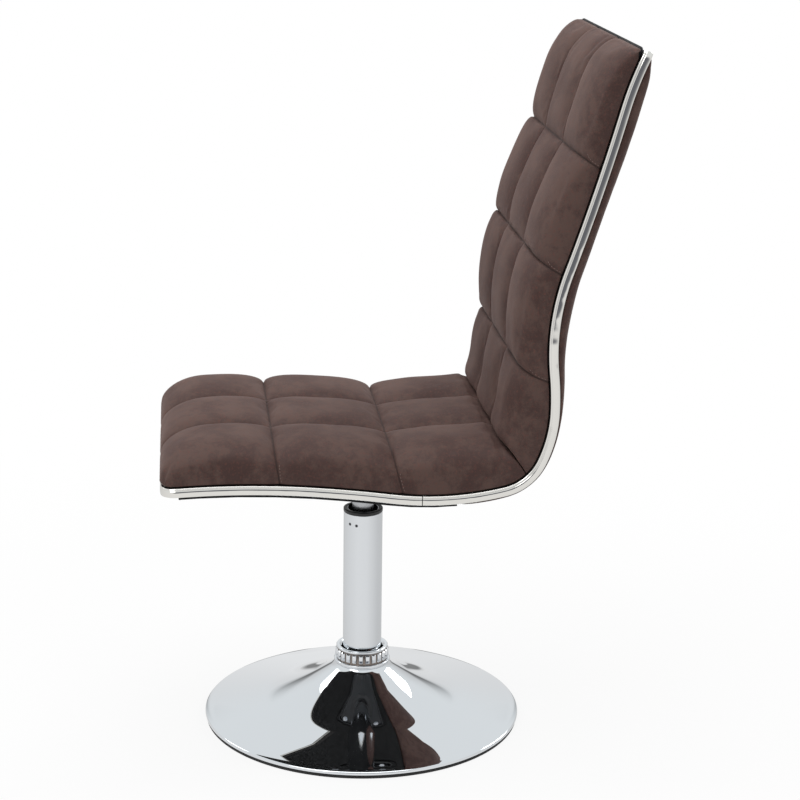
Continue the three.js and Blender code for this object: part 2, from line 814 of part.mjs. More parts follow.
// How far a pad has risen at a distance from its edge: a quarter of an ellipse from a first level.
function risen(distance, { length, level }) {
  const t = Math.sqrt(1 - level ** 2) * (1 - clamp(distance / length, 0, 1));
  return Math.sqrt(1 - t ** 2);
}

// Lines between seams. swing tells how near a line is to a seam; an outer edge has no seam.
function tuftLines(seams, shares) {
  const lines = seams.slice(0, -1).flatMap((seam, k) => shares.map((share) => {
    const outer = (k === 0 && share < 1 / 2) || (k + 2 === seams.length && share > 1 / 2);
    return { at: lerp(seam, seams[k + 1], share), swing: outer ? 0 : Math.abs(2 * share - 1) };
  }));
  return [...lines, { at: seams.at(-1), swing: 0 }];
}

// Lines along a pad: a run on its top and another at its foot, as its seams lean between the two.
function leaningLines(topSeams, footSeams) {
  const feet = tuftLines(footSeams, tuftShares);
  return tuftLines(topSeams, tuftShares).map(({ at, swing }, i) => ({ top: at, foot: feet[i].at, swing }));
}

// The point where two lines of a pad cross, on its top or on a ring round its side.
function padPoint(pad, line, cross, edge) {
  const start = pad.along[0].top;
  const end = pad.along.at(-1).top;
  const fromStart = line.top - start;
  const fromEnd = end - line.top;
  const full = smoothValue(pad.crownShares, pad.crownHeights, fromStart / (end - start));
  const tuft = (1 - line.swing ** pillowPower) * (1 - cross.swing ** pillowPower);
  const rise = risen(fromStart, pad.startRoll)
    * risen(fromEnd, pad.endRoll)
    * risen((1 - Math.abs(cross.at)) * pad.halfWidth, pad.sideRoll);
  const crest = padLow + (full - pad.seamDepth * (1 - tuft) - padLow) * rise;
  const height = edge.height ?? crest;
  const drawn = (distance, share) => edge.inset * share * Math.max(0, 1 - distance / pad.drawLength);
  const shift = drawn(fromStart, pad.startDraw) - drawn(fromEnd, pad.endDraw);
  const run = lerp(line.foot, line.top, clamp((height - padLow) / (full - padLow), 0, 1)) + shift;
  const half = pad.halfWidth - edge.inset;
  const cornerRun = pad.cornerAtTop ? end - edge.inset * pad.endDraw : start + edge.inset * pad.startDraw;
  const [x, rounded] = inCorner(pad, cross.at * half, half, run, cornerRun, pad.corner - edge.inset);
  return onBoard(x, rounded, pad.face * height);
}

// A place on the pad's plan once its square corners have been made round.
function inCorner(pad, x, half, run, cornerRun, radius) {
  const way = pad.cornerAtTop ? 1 : -1;
  const pastX = 1 - (half - Math.abs(x)) / radius;
  const pastRun = 1 + way * (run - cornerRun) / radius;
  if (pastX <= 0 || pastRun <= 0) return [x, run];
  const share = Math.max(pastX, pastRun) / Math.hypot(pastX, pastRun);
  const newX = Math.sign(x) * (half - radius + radius * pastX * share);
  return [newX, cornerRun - way * radius * (1 - pastRun * share)];
}

// A soft body: a grid over its top, rings down its side, and a back that lies on the board.
function padBody(pad) {
  const rows = pad.along.length;
  const columns = pad.across.length;
  const points = pad.along.flatMap((line) => pad.across.map((cross) => padPoint(pad, line, cross, { inset: 0 })));
  const index = [];
  for (let i = 0; i + 1 < rows; i++) {
    for (let j = 0; j + 1 < columns; j++) {
      const a = i * columns + j;
      const b = a + columns;
      index.push(a, a + 1, b + 1, a, b + 1, b);
    }
  }
  const rim = rimOf(rows, columns);
  let upper = rim.map(([i, j]) => i * columns + j);
  for (const edge of pad.rings) {
    const lower = rim.map(([i, j]) => points.push(padPoint(pad, pad.along[i], pad.across[j], edge)) - 1);
    rim.forEach((_, k) => {
      const next = (k + 1) % rim.length;
      index.push(upper[next], upper[k], lower[k], upper[next], lower[k], lower[next]);
    });
    upper = lower;
  }
  for (const k of backOf(rows, columns)) index.push(upper[k]);
  return bodyOf(points, index);
}

// The grid places on the rim, in order round it.
function rimOf(rows, columns) {
  const rim = [];
  for (let j = 0; j < columns; j++) rim.push([0, j]);
  for (let i = 1; i < rows; i++) rim.push([i, columns - 1]);
  for (let j = columns - 2; j >= 0; j--) rim.push([rows - 1, j]);
  for (let i = rows - 2; i > 0; i--) rim.push([i, 0]);
  return rim;
}

// Triangles of the back, as places in the rim: a fan at each end, and straight steps between.
function backOf(rows, columns) {
  const count = 2 * (rows + columns) - 4;
  const left = (i) => count - i;
  const right = (i) => columns - 1 + i;
  const far = (j) => 2 * (columns - 1) + rows - 1 - j;
  const index = [];
  for (let j = 0; j + 1 < columns; j++) {
    index.push(j + 1, j, left(1));
    index.push(left(rows - 2), far(j), far(j + 1));
  }
  index.push(right(0), left(1), right(1), left(rows - 2), right(rows - 1), right(rows - 2));
  for (let i = 1; i + 2 < rows; i++) {
    index.push(right(i), left(i), left(i + 1), right(i), left(i + 1), right(i + 1));
  }
  return index;
}

const pipingTop = padLow + 2 * piping.radius + gap;
const stripFoot = strip.height / 2 + gap;
const cushionRings = [
  { inset: cushion.swellIn, height: pipingTop + cushion.swellRise },
  { inset: cushion.drawIn, height: pipingTop },
  { inset: cushion.drawIn, height: padLow },
];
const tuftedPad = {
  across: tuftLines(columnShares, wideTuftShares),
  rings: cushionRings,
  halfWidth: board.halfWidth + cushion.overhang,
  sideRoll,
  seamDepth: cushion.seamDepth,
  face: 1,
};

function seatCushion() {
  const topEnd = creaseTopRun - creaseSpace.top;
  const footEnd = creaseEdgeRun - creaseSpace.edge;
  const topSeams = seatTopShares.map((share) => lerp(seatPad.start, topEnd, share));
  return padBody({
    ...tuftedPad,
    along: leaningLines(topSeams, seatEdgeShares.map((share) => lerp(seatPad.start, footEnd, share))),
    crownShares: seatCrownShares,
    crownHeights: seatCrownHeights,
    startRoll: frontRoll,
    endRoll: seatPad.creaseRoll,
    startDraw: 1,
    endDraw: 0,
    drawLength: topSeams[1],
    corner: seatPad.corner,
    cornerAtTop: false,
  });
}

function backCushion() {
  const end = totalRun - backPad.rimInset;
  const topStart = creaseTopRun + creaseSpace.top;
  const footStart = creaseEdgeRun + creaseSpace.edge;
  const topSeams = backTopShares.map((share) => lerp(topStart, end, share));
  return padBody({
    ...tuftedPad,
    along: leaningLines(topSeams, backEdgeShares.map((share) => lerp(footStart, end, share))),
    crownShares: backCrownShares,
    crownHeights: backCrownHeights,
    startRoll: backPad.creaseRoll,
    endRoll: frontRoll,
    startDraw: 0,
    endDraw: backDrawInShare,
    drawLength: topSeams.at(-1) - topSeams.at(-2),
    corner: backPad.corner,
    cornerAtTop: true,
  });
}

function rearPanel() {
  const start = rearStartShare * seatRun;
  const end = totalRun - rearPad.topInset;
  const lines = [...runsBetween(start, end), start + rearPad.drawIn, end - rearPad.drawIn];
  return padBody({
    along: lines.sort((a, b) => a - b).map((run) => ({ top: run, foot: run, swing: 0 })),
    across: rearColumnShares.map((at) => ({ at, swing: 0 })),
    rings: [
      { inset: rearPad.swellIn, height: stripFoot + rearPad.swellRise },
      { inset: rearPad.drawIn, height: stripFoot },
      { inset: rearPad.drawIn, height: padLow },
    ],
    halfWidth: board.halfWidth + rearPad.overhang,
    crownShares: rearCrownShares,
    crownHeights: rearCrownHeights,
    startRoll: rearPad.lowRoll,
    endRoll: rearPad.topRoll,
    sideRoll: rearPad.sideRoll,
    startDraw: 1,
    endDraw: 1,
    drawLength: rearPad.drawLength,
    corner: rearPad.corner,
    cornerAtTop: true,
    seamDepth: 0,
    face: -1,
  });
}

// Assembly

const group = new THREE.Group();
group.name = 'swivel_dining_chair';

function place(name, geometry, material) {
  const mesh = new THREE.Mesh(geometry, material);
  mesh.name = name;
  group.add(mesh);
}

place('base_floor_ring', baseFloorRing(), materials.rubber);
place('base_disc', baseDisc(), materials.chrome);
place('base_ballast', baseBallast(), materials.castIron);
place('base_collar', baseCollar(), materials.chrome);
place('column_tube', columnTube(), materials.tubeChrome);
place('column_bush', columnBush(), materials.nylon);
place('column_clip_front', columnClip(-1), materials.zinc);
place('column_clip_rear', columnClip(1), materials.zinc);
place('column_thrust_washer', columnThrustWasher(), materials.nylon);

place('seat_spindle', seatSpindle(), materials.steel);
place('spindle_washer', spindleWasher(), materials.zinc);
place('spindle_nut', spindleNut(), materials.zinc);
place('seat_hub', seatHub(), materials.blackSteel);
place('seat_plate', seatPlate(), materials.blackSteel);
boltPlaces().forEach((at, i) => {
  place(`seat_bolt_${i + 1}`, seatBolt(at), materials.zinc);
  place(`seat_tee_nut_${i + 1}`, seatTeeNut(at), materials.zinc);
});
place('seat_board', seatBoard(), materials.blackPly);
place('seat_under_board', seatUnderBoard(), materials.blackBoard);
place('front_strip', frontStrip(), materials.chrome);
place('back_strip_left', backStrip(1), materials.chrome);
place('back_strip_right', backStrip(-1), materials.chrome);
place('seat_piping', cushionPiping(false), materials.vinyl);
place('back_piping', cushionPiping(true), materials.vinyl);
place('seat_cushion', seatCushion(), materials.suede);
place('back_cushion', backCushion(), materials.suede);
place('rear_panel', rearPanel(), materials.suede);

export default group;
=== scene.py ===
"""Dresses a swivel dining chair: a tufted seat and back in one, edged in chrome, on a turning column.

Pieces are modelled in millimetres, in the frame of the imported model, and become metres as they are
finished. A place on the bent board is given by x, its run along the board's side line from the front
edge over the seat and up the back, and its height off that line, towards the sitter.
"""

import logging
import math
from dataclasses import dataclass, replace
from enum import Enum

import bmesh
import bpy
from bmesh.types import BMEdge, BMesh, BMFace, BMVert
from mathutils import Matrix, Vector
from mathutils.bvhtree import BVHTree


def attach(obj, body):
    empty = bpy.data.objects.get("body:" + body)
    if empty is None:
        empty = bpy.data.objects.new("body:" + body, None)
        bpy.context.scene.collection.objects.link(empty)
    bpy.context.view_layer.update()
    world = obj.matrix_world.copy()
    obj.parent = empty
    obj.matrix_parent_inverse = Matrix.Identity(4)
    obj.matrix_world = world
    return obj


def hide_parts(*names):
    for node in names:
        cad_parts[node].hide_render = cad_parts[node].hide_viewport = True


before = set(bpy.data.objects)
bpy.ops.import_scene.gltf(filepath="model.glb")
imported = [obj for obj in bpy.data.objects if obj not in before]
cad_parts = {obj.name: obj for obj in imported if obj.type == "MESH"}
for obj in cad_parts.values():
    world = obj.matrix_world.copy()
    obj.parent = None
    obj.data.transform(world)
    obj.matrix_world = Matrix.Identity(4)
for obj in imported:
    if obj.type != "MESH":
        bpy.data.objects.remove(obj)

Tree = bpy.types.NodeTree
Socket = bpy.types.NodeSocket

# A millimetre in metres, and how many make a metre.
MM = 0.001
PER_MM = 1000.0
# In millimetres: the gap between solids of one body, a length that counts as none, and one past any seam.
GAP = 0.3
CLOSE = 0.01
FAR_OFF = 99.0
# The part of a noise's range that most of its values lie in.
MIDDLE = {"From Min": 0.3, "From Max": 0.7}
# Node settings: a mix of two colours, and a step that starts and ends softly.
COLOURS = {"data_type": "RGBA"}
EASED = {"interpolation_type": "SMOOTHSTEP"}
WHITE = (1, 1, 1, 1)
# How a suede cover over foam behaves as it is filled.
SUEDE_ON_FOAM = {
    "quality": 6, "mass": 0.25, "tension_stiffness": 12.0, "compression_stiffness": 12.0,
    "shear_stiffness": 6.0, "bending_stiffness": 0.35, "use_pressure": True, "uniform_pressure_force": 4.0,
}
LOG = logging.getLogger("chair")


class Body(Enum):
    """The two bodies of the chair, which turn against each other."""

    BASE = "base"
    SEAT = "seat"


class Slot(Enum):
    """The record's material slots."""

    FLOOR_RING = "floor_ring"
    POLISHED_CHROME = "polished_chrome"
    SATIN_CHROME = "satin_chrome"
    BALLAST_IRON = "ballast_iron"
    BLACK_PLASTIC = "black_plastic"
    ZINC_STEEL = "zinc_steel"
    SPINDLE_STEEL = "spindle_steel"
    BLACK_PAINT = "black_paint"
    PLYWOOD = "plywood"
    BLACK_BOARD = "black_board"
    BLACK_PIPING = "black_piping"
    BROWN_SUEDE = "brown_suede"


class Edge(Enum):
    """The end of the board that a trim goes round: its value is the way of the run there."""

    FRONT = -1
    TOP = 1


def srgb(code: str) -> tuple[float, float, float, float]:
    """Turns an sRGB hex colour into the linear colour that the shaders take.

    Args:
        code: Six hex digits.

    Returns:
        Linear red, green, blue and full alpha.
    """
    parts = [int(code[i:i + 2], 16) / 255 for i in (0, 2, 4)]
    linear = [c / 12.92 if c <= 0.04045 else ((c + 0.055) / 1.055) ** 2.4 for c in parts]
    return (*linear, 1.0)


def clamped(share: float) -> float:
    """Returns a share kept between 0 and 1."""
    return min(max(share, 0.0), 1.0)


def add_node(
    tree: Tree, kind: str, sockets: dict | None = None, out: str = "", stops: tuple = (), **settings,
) -> Socket | None:
    """Adds a shader node with its settings, and gives each named socket a value or a link.

    Args:
        tree: The material's or the world's node tree.
        kind: The type of node.
        sockets: Value, or output socket to link, by the input's name or number.
        out: The output to return, if it isn't the first one in use.
        stops: Position and linear colour of each stop, for a colour ramp.
        **settings: Properties of the node.

    Returns:
        The node's output, or None for a node that has none.
    """
    node = tree.nodes.new(f"ShaderNode{kind}")
    for key, value in settings.items():
        setattr(node, key, value)
    for key, value in (sockets or {}).items():
        if isinstance(value, Socket):
            tree.links.new(value, node.inputs[key])
        else:
            node.inputs[key].default_value = value
    if stops:
        elements = node.color_ramp.elements
        while len(elements) < len(stops):
            elements.new(1.0)
        for element, (position, colour) in zip(elements, stops):
            element.position, element.color = position, colour
    return node.outputs[out] if out else next((socket for socket in node.outputs if socket.enabled), None)


def empty_tree(owner: bpy.types.Material | bpy.types.World) -> Tree:
    """Gives a material or a world a node tree without nodes, and returns it."""
    owner.use_nodes = True
    owner.node_tree.nodes.clear()
    return owner.node_tree


@dataclass(frozen=True)
class Finish:
    """A surface finish, made once as a material and shared by all the pieces that have it."""

    name: str
    slot: Slot

    def material(self) -> bpy.types.Material:
        """Returns the finish's material, making it on the first call."""
        ready = bpy.data.materials.get(self.name)
        if ready:
            return ready
        made = bpy.data.materials.new(self.name)
        tree = empty_tree(made)
        place = add_node(tree, "TexCoord", out="Object")
        shader = add_node(tree, "BsdfPrincipled", self.shade(tree, place))
        add_node(tree, "OutputMaterial", {"Surface": shader})
        return made

    def shade(self, tree: Tree, place: Socket) -> dict:
        """Works out what the Principled shader's sockets get. Each finish has its own.

        Args:
            tree: The material's node tree.
            place: Object coordinates, in metres.

        Returns:
            A value or a link for each socket that is set, by name.
        """
        raise NotImplementedError


@dataclass(frozen=True)
class ChromePlate(Finish):
    """Decorative chrome: nickel and chrome plated over polished steel.

    To the eye it is a cold, hard mirror. Wiping leaves a faint haze in blots as wide as a thumb, and a
    strip that was bent by hand has slow waves, which pull its reflections into streaks.
    """

    name: str = "polished_chrome_plate"
    slot: Slot = Slot.POLISHED_CHROME
    colour: str = "E2E5E8"
    clear: float = 0.004
    hazy: float = 0.018
    haze_mm: float = 38.0
    wave_mm: float = 90.0
    wave_depth_mm: float = 0.05

    def shade(self, tree: Tree, place: Socket) -> dict:
        """Sets a mirror with haze and waves."""
        haze = add_node(tree, "TexNoise", {"Vector": place, "Scale": PER_MM / self.haze_mm, "Detail": 4.0})
        waves = add_node(tree, "TexNoise", {"Vector": place, "Scale": PER_MM / self.wave_mm, "Detail": 1.0})
        return {
            "Base Color": srgb(self.colour), "Metallic": 1.0,
            "Roughness": add_node(tree, "MapRange", {
                "Value": haze, **MIDDLE, "To Min": self.clear, "To Max": self.hazy,
            }),
            "Normal": add_node(tree, "Bump", {"Height": waves, "Distance": self.wave_depth_mm * MM}),
        }


@dataclass(frozen=True)
class CastChrome(Finish):
    """Chrome over a zinc casting: bright on polished faces, dull in recesses, with painted shade there."""

    name: str = "chromed_zinc_casting"
    slot: Slot = Slot.POLISHED_CHROME
    colour: str = "E2E5E8"
    recess_shade_colour: str = "877E78"
    recess_radius_mm: float = 32.6
    face_radius_mm: float = 33.4
    band_top_mm: float = 92.6
    polished: float = 0.03
    dull: float = 0.2

    def shade(self, tree: Tree, place: Socket) -> dict:
        """Roughens what lies nearer to the axis than the polished faces, and darkens it as painted shade."""
        flat = add_node(tree, "VectorMath", {0: place, 1: (1, 1, 0)}, operation="MULTIPLY")
        radius = add_node(tree, "VectorMath", {0: flat}, operation="LENGTH")
        outer = add_node(tree, "MapRange", {
            "Value": radius, "From Min": self.recess_radius_mm * MM, "From Max": self.face_radius_mm * MM,
        })
        rise = add_node(tree, "SeparateXYZ", {0: place}, out="Z")
        above = add_node(tree, "Math", {0: rise, 1: self.band_top_mm * MM}, operation="GREATER_THAN")
        bright = add_node(tree, "Math", {0: outer, 1: above}, operation="MAXIMUM")
        return {
            "Metallic": 1.0,
            # Painted shade: the sunk band and the slots between blocks take the darker recess colour.
            "Base Color": add_node(tree, "Mix", {
                "Factor": bright, 6: srgb(self.recess_shade_colour), 7: srgb(self.colour),
            }, **COLOURS),
            "Roughness": add_node(tree, "MapRange", {
                "Value": bright, "To Min": self.dull, "To Max": self.polished,
            }),
        }


@dataclass(frozen=True)
class TubeChrome(Finish):
    """Chrome over drawn steel tube: bright, but softened by fine lines along the draw.

    Two small crimps near its mouth, which hold the bush, are dimples drawn only as spots of painted shade.
    """

    name: str = "chromed_drawn_tube"
    slot: Slot = Slot.SATIN_CHROME
    colour: str = "DDE0E3"
    crimp_shade_colour: str = "3A3A3D"
    line_mm: float = 0.8
    line_depth_mm: float = 0.004
    clear: float = 0.045
    soft: float = 0.085
    crimps_mm: tuple[tuple[float, float, float], ...] = ((17.1, -18.3, 266.0), (22.7, -10.4, 265.3))
    crimp_radius_mm: float = 2.4

    def shade(self, tree: Tree, place: Socket) -> dict:
        """Sets draw lines 0.8 mm apart, coarser than they are so that they show, and shade painted at the
        crimps.
        """
        drawn = add_node(tree, "Mapping", {"Vector": place, "Scale": (1.0, 1.0, 0.02)})
        lines = add_node(tree, "TexNoise", {"Vector": drawn, "Scale": PER_MM / self.line_mm, "Detail": 2.0})
        # Painted shade: each crimp is a soft dark spot in the colour, with no dent in the form.
        dark = 0.0
        for crimp in self.crimps_mm:
            centre = tuple(c * MM for c in crimp)
            away = add_node(tree, "VectorMath", {0: place, 1: centre}, operation="DISTANCE")
            near = add_node(tree, "MapRange", {
                "Value": away, "From Min": 0.6 * self.crimp_radius_mm * MM,
                "From Max": self.crimp_radius_mm * MM, "To Min": 1.0, "To Max": 0.0,
            })
            dark = add_node(tree, "Math", {0: near, 1: dark}, operation="MAXIMUM")
        return {
            "Metallic": 1.0,
            "Base Color": add_node(tree, "Mix", {
                "Factor": dark, 6: srgb(self.colour), 7: srgb(self.crimp_shade_colour),
            }, **COLOURS),
            "Roughness": add_node(tree, "MapRange", {
                "Value": lines, **MIDDLE, "To Min": self.clear, "To Max": self.soft,
            }),
            "Normal": add_node(tree, "Bump", {"Height": lines, "Distance": self.line_depth_mm * MM}),
        }


@dataclass(frozen=True)
class TurnedSteel(Finish):
    """Ground or zinc-plated steel: satin, with fine rings from the turning and a slow change in tone."""

    name: str = "ground_steel"
    slot: Slot = Slot.SPINDLE_STEEL
    colour: str = "C2C4C6"
    oiled: str = "AEB0B3"
    rough: float = 0.24
    ring_mm: float = 0.5
    ring_depth_mm: float = 0.01
    tone_mm: float = 14.0
    smoother: float = 0.05
    rougher: float = 0.07

    def shade(self, tree: Tree, place: Socket) -> dict:
        """Sets rings about the axis, and the tone that oil and handling leave."""
        tone = add_node(tree, "TexNoise", {"Vector": place, "Scale": PER_MM / self.tone_mm, "Detail": 3.0})
        flat = add_node(tree, "Mapping", {"Vector": place, "Scale": (0.05, 0.05, 1.0)})
        rings = add_node(tree, "TexNoise", {"Vector": flat, "Scale": PER_MM / self.ring_mm, "Detail": 2.0})
        return {
            "Metallic": 1.0,
            "Base Color": add_node(tree, "Mix", {
                "Factor": tone, 6: srgb(self.colour), 7: srgb(self.oiled),
            }, **COLOURS),
            "Roughness": add_node(tree, "MapRange", {
                "Value": rings, **MIDDLE, "To Min": self.rough - self.smoother,
                "To Max": self.rough + self.rougher,
            }),
            "Normal": add_node(tree, "Bump", {"Height": rings, "Distance": self.ring_depth_mm * MM}),
        }


@dataclass(frozen=True)
class BlackCoat(Finish):
    """A black surface with its own grain: moulded nylon, rubber, stove paint, vinyl, lining cloth or stain.

    To the eye it is never quite black: hands and floors rub it greyer in places.
    """

    name: str
    slot: Slot
    colour: str = "161617"
    worn: str = "232325"
    rough: float = 0.5
    grain_mm: float = 0.9
    depth_mm: float = 0.03
    drawn_out: tuple[float, float, float] = (1.0, 1.0, 1.0)
    gloss: float = 0.5
    wear_mm: float = 25.0
    smoother: float = 0.06
    rougher: float = 0.08

    def shade(self, tree: Tree, place: Socket) -> dict:
        """Sets fine grain in relief, and wear in blots."""
        rub = add_node(tree, "TexNoise", {"Vector": place, "Scale": PER_MM / self.wear_mm, "Detail": 5.0})
        lay = add_node(tree, "Mapping", {"Vector": place, "Scale": self.drawn_out})
        grain = add_node(tree, "TexNoise", {"Vector": lay, "Scale": PER_MM / self.grain_mm, "Detail": 3.0})
        return {
            "Specular IOR Level": self.gloss,
            "Base Color": add_node(tree, "Mix", {
                "Factor": rub, 6: srgb(self.colour), 7: srgb(self.worn),
            }, **COLOURS),
            "Roughness": add_node(tree, "MapRange", {
                "Value": rub, **MIDDLE, "To Min": self.rough - self.smoother,
                "To Max": self.rough + self.rougher,
            }),
            "Normal": add_node(tree, "Bump", {"Height": grain, "Distance": self.depth_mm * MM}),
        }


@dataclass(frozen=True)
class CastIron(Finish):
    """Raw sand-cast iron: dark and pitted by the sand, with a bloom of rust over blots of scale."""

    name: str = "sand_cast_iron"
    slot: Slot = Slot.BALLAST_IRON
    bare: str = "29292B"
    scaled: str = "3A3A3C"
    rusty: str = "4A3A30"
    pit_mm: float = 1.6
    pit_depth_mm: float = 0.25
    scale_mm: float = 22.0
    smooth: float = 0.55
    rough: float = 0.8

    def shade(self, tree: Tree, place: Socket) -> dict:
        """Sets pits of sand over blots of scale."""
        scale = add_node(tree, "TexNoise", {"Vector": place, "Scale": PER_MM / self.scale_mm, "Detail": 6.0})
        pits = add_node(tree, "TexNoise", {"Vector": place, "Scale": PER_MM / self.pit_mm, "Detail": 4.0})
        stops = ((0.3, srgb(self.bare)), (0.6, srgb(self.scaled)), (0.78, srgb(self.rusty)))
        return {
            "Metallic": 0.5,
            "Base Color": add_node(tree, "ValToRGB", {"Fac": scale}, stops=stops),
            "Roughness": add_node(tree, "MapRange", {
                "Value": pits, **MIDDLE, "To Min": self.smooth, "To Max": self.rough,
            }),
            "Normal": add_node(tree, "Bump", {"Height": pits, "Distance": self.pit_depth_mm * MM}),
        }


@dataclass(frozen=True)
class SuedeCloth(Finish):
    """Printed microfibre suede: dark brown with a leathery mottle.

    To the eye it is soft and nearly matt. Its short nap catches a little light where the cloth turns
    away, and painted shade darkens the cloth where it dips into a sewn line.
    """

    name: str = "brown_microfibre_suede"
    slot: Slot = Slot.BROWN_SUEDE
    dark: str = "432F2B"
    body: str = "4C3934"
    light: str = "57433D"
    russet: str = "653E36"
    # Painted shade: the colour that the cloth darkens to along the sewn lines.
    sewn: str = "2A1C18"
    sheen: str = "9A8078"
    cloud_mm: float = 60.0
    blot_mm: float = 12.0
    blot_depth_mm: float = 0.25
    speck_mm: float = 3.2
    speck_range: tuple[float, float] = (0.52, 0.72)
    speck_share: float = 0.7
    nap_mm: float = 0.9
    nap_depth_mm: float = 0.08
    nap_share: float = 0.4
    mottle_range: tuple[float, float] = (0.98, 1.42)
    seam_shade_mm: tuple[float, float] = (0.3, 1.5)
    seam_shade_share: float = 0.85
    smooth: float = 0.62
    rough: float = 0.8

    def shade(self, tree: Tree, place: Socket) -> dict:
        """Sets clouds, blots, reddish specks and a nap, drawn coarser than it is so that it shows."""
        clouds, blots, nap, specks = (add_node(tree, "TexNoise", {
            "Vector": place, "Scale": PER_MM / size, "Detail": detail, "Roughness": fineness,
        }) for size, detail, fineness in (
            (self.cloud_mm, 2.0, 0.5), (self.blot_mm, 6.0, 0.62), (self.nap_mm, 3.0, 0.5),
            (self.speck_mm, 4.0, 0.7),
        ))
        both = add_node(tree, "Math", {0: clouds, 1: blots}, operation="ADD")
        even = add_node(tree, "Math", {0: nap, 1: self.nap_share, 2: both}, operation="MULTIPLY_ADD")
        low, high = self.mottle_range
        spread = add_node(tree, "MapRange", {"Value": even, "From Min": low, "From Max": high})
        stops = ((0.2, srgb(self.dark)), (0.5, srgb(self.body)), (0.8, srgb(self.light)))
        mottle = add_node(tree, "ValToRGB", {"Fac": spread}, stops=stops)
        low, high = self.speck_range
        rare = add_node(tree, "MapRange", {
            "Value": specks, "From Min": low, "From Max": high, "To Max": self.speck_share,
        })
        speckled = add_node(tree, "Mix", {"Factor": rare, 6: mottle, 7: srgb(self.russet)}, **COLOURS)
        # Painted shade: close to each seam the cloth is mixed towards the darker sewn colour.
        seam = add_node(tree, "Attribute", out="Fac", attribute_name="seam_mm")
        low, high = self.seam_shade_mm
        dip = add_node(tree, "MapRange", {
            "Value": seam, "From Min": low, "From Max": high, "To Min": self.seam_shade_share, "To Max": 0.0,
        })
        crumple = add_node(tree, "Bump", {"Height": blots, "Distance": self.blot_depth_mm * MM})
        return {
            "Specular IOR Level": 0.3, "Sheen Weight": 0.3, "Sheen Roughness": 0.4,
            "Sheen Tint": srgb(self.sheen),
            "Base Color": add_node(tree, "Mix", {
                "Factor": dip, 6: speckled, 7: srgb(self.sewn),
            }, **COLOURS),
            "Roughness": add_node(tree, "MapRange", {
                "Value": blots, **MIDDLE, "To Min": self.smooth, "To Max": self.rough,
            }),
            "Normal": add_node(tree, "Bump", {
                "Height": nap, "Distance": self.nap_depth_mm * MM, "Normal": crumple,
            }),
        }


@dataclass(frozen=True)
class SewingThread(Finish):
    """Twisted polyester thread, a shade lighter than the cloth: each stitch shows as a small pale bead."""

    name: str = "brown_polyester_thread"
    slot: Slot = Slot.BROWN_SUEDE
    shaded: str = "6A544E"
    lit: str = "857069"
    twist_mm: float = 0.4

    def shade(self, tree: Tree, place: Socket) -> dict:
        """Sets a soft shine, with the plies of the twist as fine bands."""
        plies = add_node(tree, "TexNoise", {"Vector": place, "Scale": PER_MM / self.twist_mm, "Detail": 1.0})
        return {
            "Roughness": 0.5,
            "Base Color": add_node(tree, "Mix", {
                "Factor": plies, 6: srgb(self.shaded), 7: srgb(self.lit),
            }, **COLOURS),
        }


class Finishes:
    """The finishes of the chair, by what the real surface is."""

    mirror = ChromePlate()
    strip = ChromePlate(
        "polished_chrome_strip", colour="E4E2DD", clear=0.02, hazy=0.07, wave_mm=24.0, wave_depth_mm=0.45,
    )
    casting = CastChrome()
    tube = TubeChrome()
    rod = TurnedSteel()
    zinc = TurnedSteel("zinc_plated_steel", Slot.ZINC_STEEL, "C6C9CE", "AEB1B6", 0.26, 0.4)
    nylon = BlackCoat("black_moulded_nylon", Slot.BLACK_PLASTIC, rough=0.36, grain_mm=0.6, depth_mm=0.012)
    rubber = BlackCoat("black_rubber", Slot.FLOOR_RING, "121213", "1D1D1E", 0.7, 1.2, 0.05)
    paint = BlackCoat("black_stove_paint", Slot.BLACK_PAINT, "18191B", "252629", 0.38, 0.7, 0.015)
    cloth = BlackCoat("black_lining_cloth", Slot.BLACK_BOARD, "0E0E0F", "171718", 0.86, 0.8, 0.12)
    vinyl = BlackCoat("black_vinyl_cord", Slot.BLACK_PIPING, "141315", "1E1D20", 0.6, 0.5, 0.02, gloss=0.2)
    plywood = BlackCoat(
        "black_stained_plywood", Slot.PLYWOOD, "171413", "262120", 0.6, 2.5, 0.08, (0.05, 1.0, 1.0),
    )
    iron = CastIron()
    suede = SuedeCloth()
    thread = SewingThread()


def only(geom: list, kind: type) -> list:
    """Returns the vertices, edges or faces among what an operator made."""
    return [item for item in geom if isinstance(item, kind)]


def outline(form: BMesh, corners: list[tuple], lift: Matrix | None = None) -> list:
    """Draws a closed outline in the XZ plane, with the corners that ask for it made round.

    Args:
        form: The bmesh to add to, which is empty.
        corners: Each an x, a z and, if it is round, how far the rounding reaches along the sides.
        lift: A move from the XZ plane to where the outline belongs, if any.

    Returns:
        The outline's vertices and edges.
    """
    verts = [form.verts.new((corner[0], 0.0, corner[1])) for corner in corners]
    form.faces.new(verts)
    for vert, corner in zip(verts, corners):
        if len(corner) > 2:
            bmesh.ops.bevel(
                form, geom=[vert], offset=corner[2], segments=3 if corner[2] < 3 else 14, profile=0.5,
                affect="VERTICES", material=-1,
            )
    if lift:
        bmesh.ops.transform(form, matrix=lift, verts=form.verts)
    bmesh.ops.delete(form, geom=list(form.faces), context="FACES_ONLY")
    return [*form.verts, *form.edges]


def grow(form: BMesh, edges: list, step: Vector | tuple = (0, 0, 0)) -> tuple[list, list]:
    """Extrudes edges by one straight step, or in place.

    Args:
        form: The bmesh that they are in.
        edges: The edges.
        step: How far they go on.

    Returns:
        The new vertices, and the new edges between them.
    """
    made = bmesh.ops.extrude_edge_only(form, edges=edges)["geom"]
    verts = only(made, BMVert)
    bmesh.ops.translate(form, vec=step, verts=verts)
    fresh = set(verts)
    return verts, [edge for edge in only(made, BMEdge) if set(edge.verts) <= fresh]


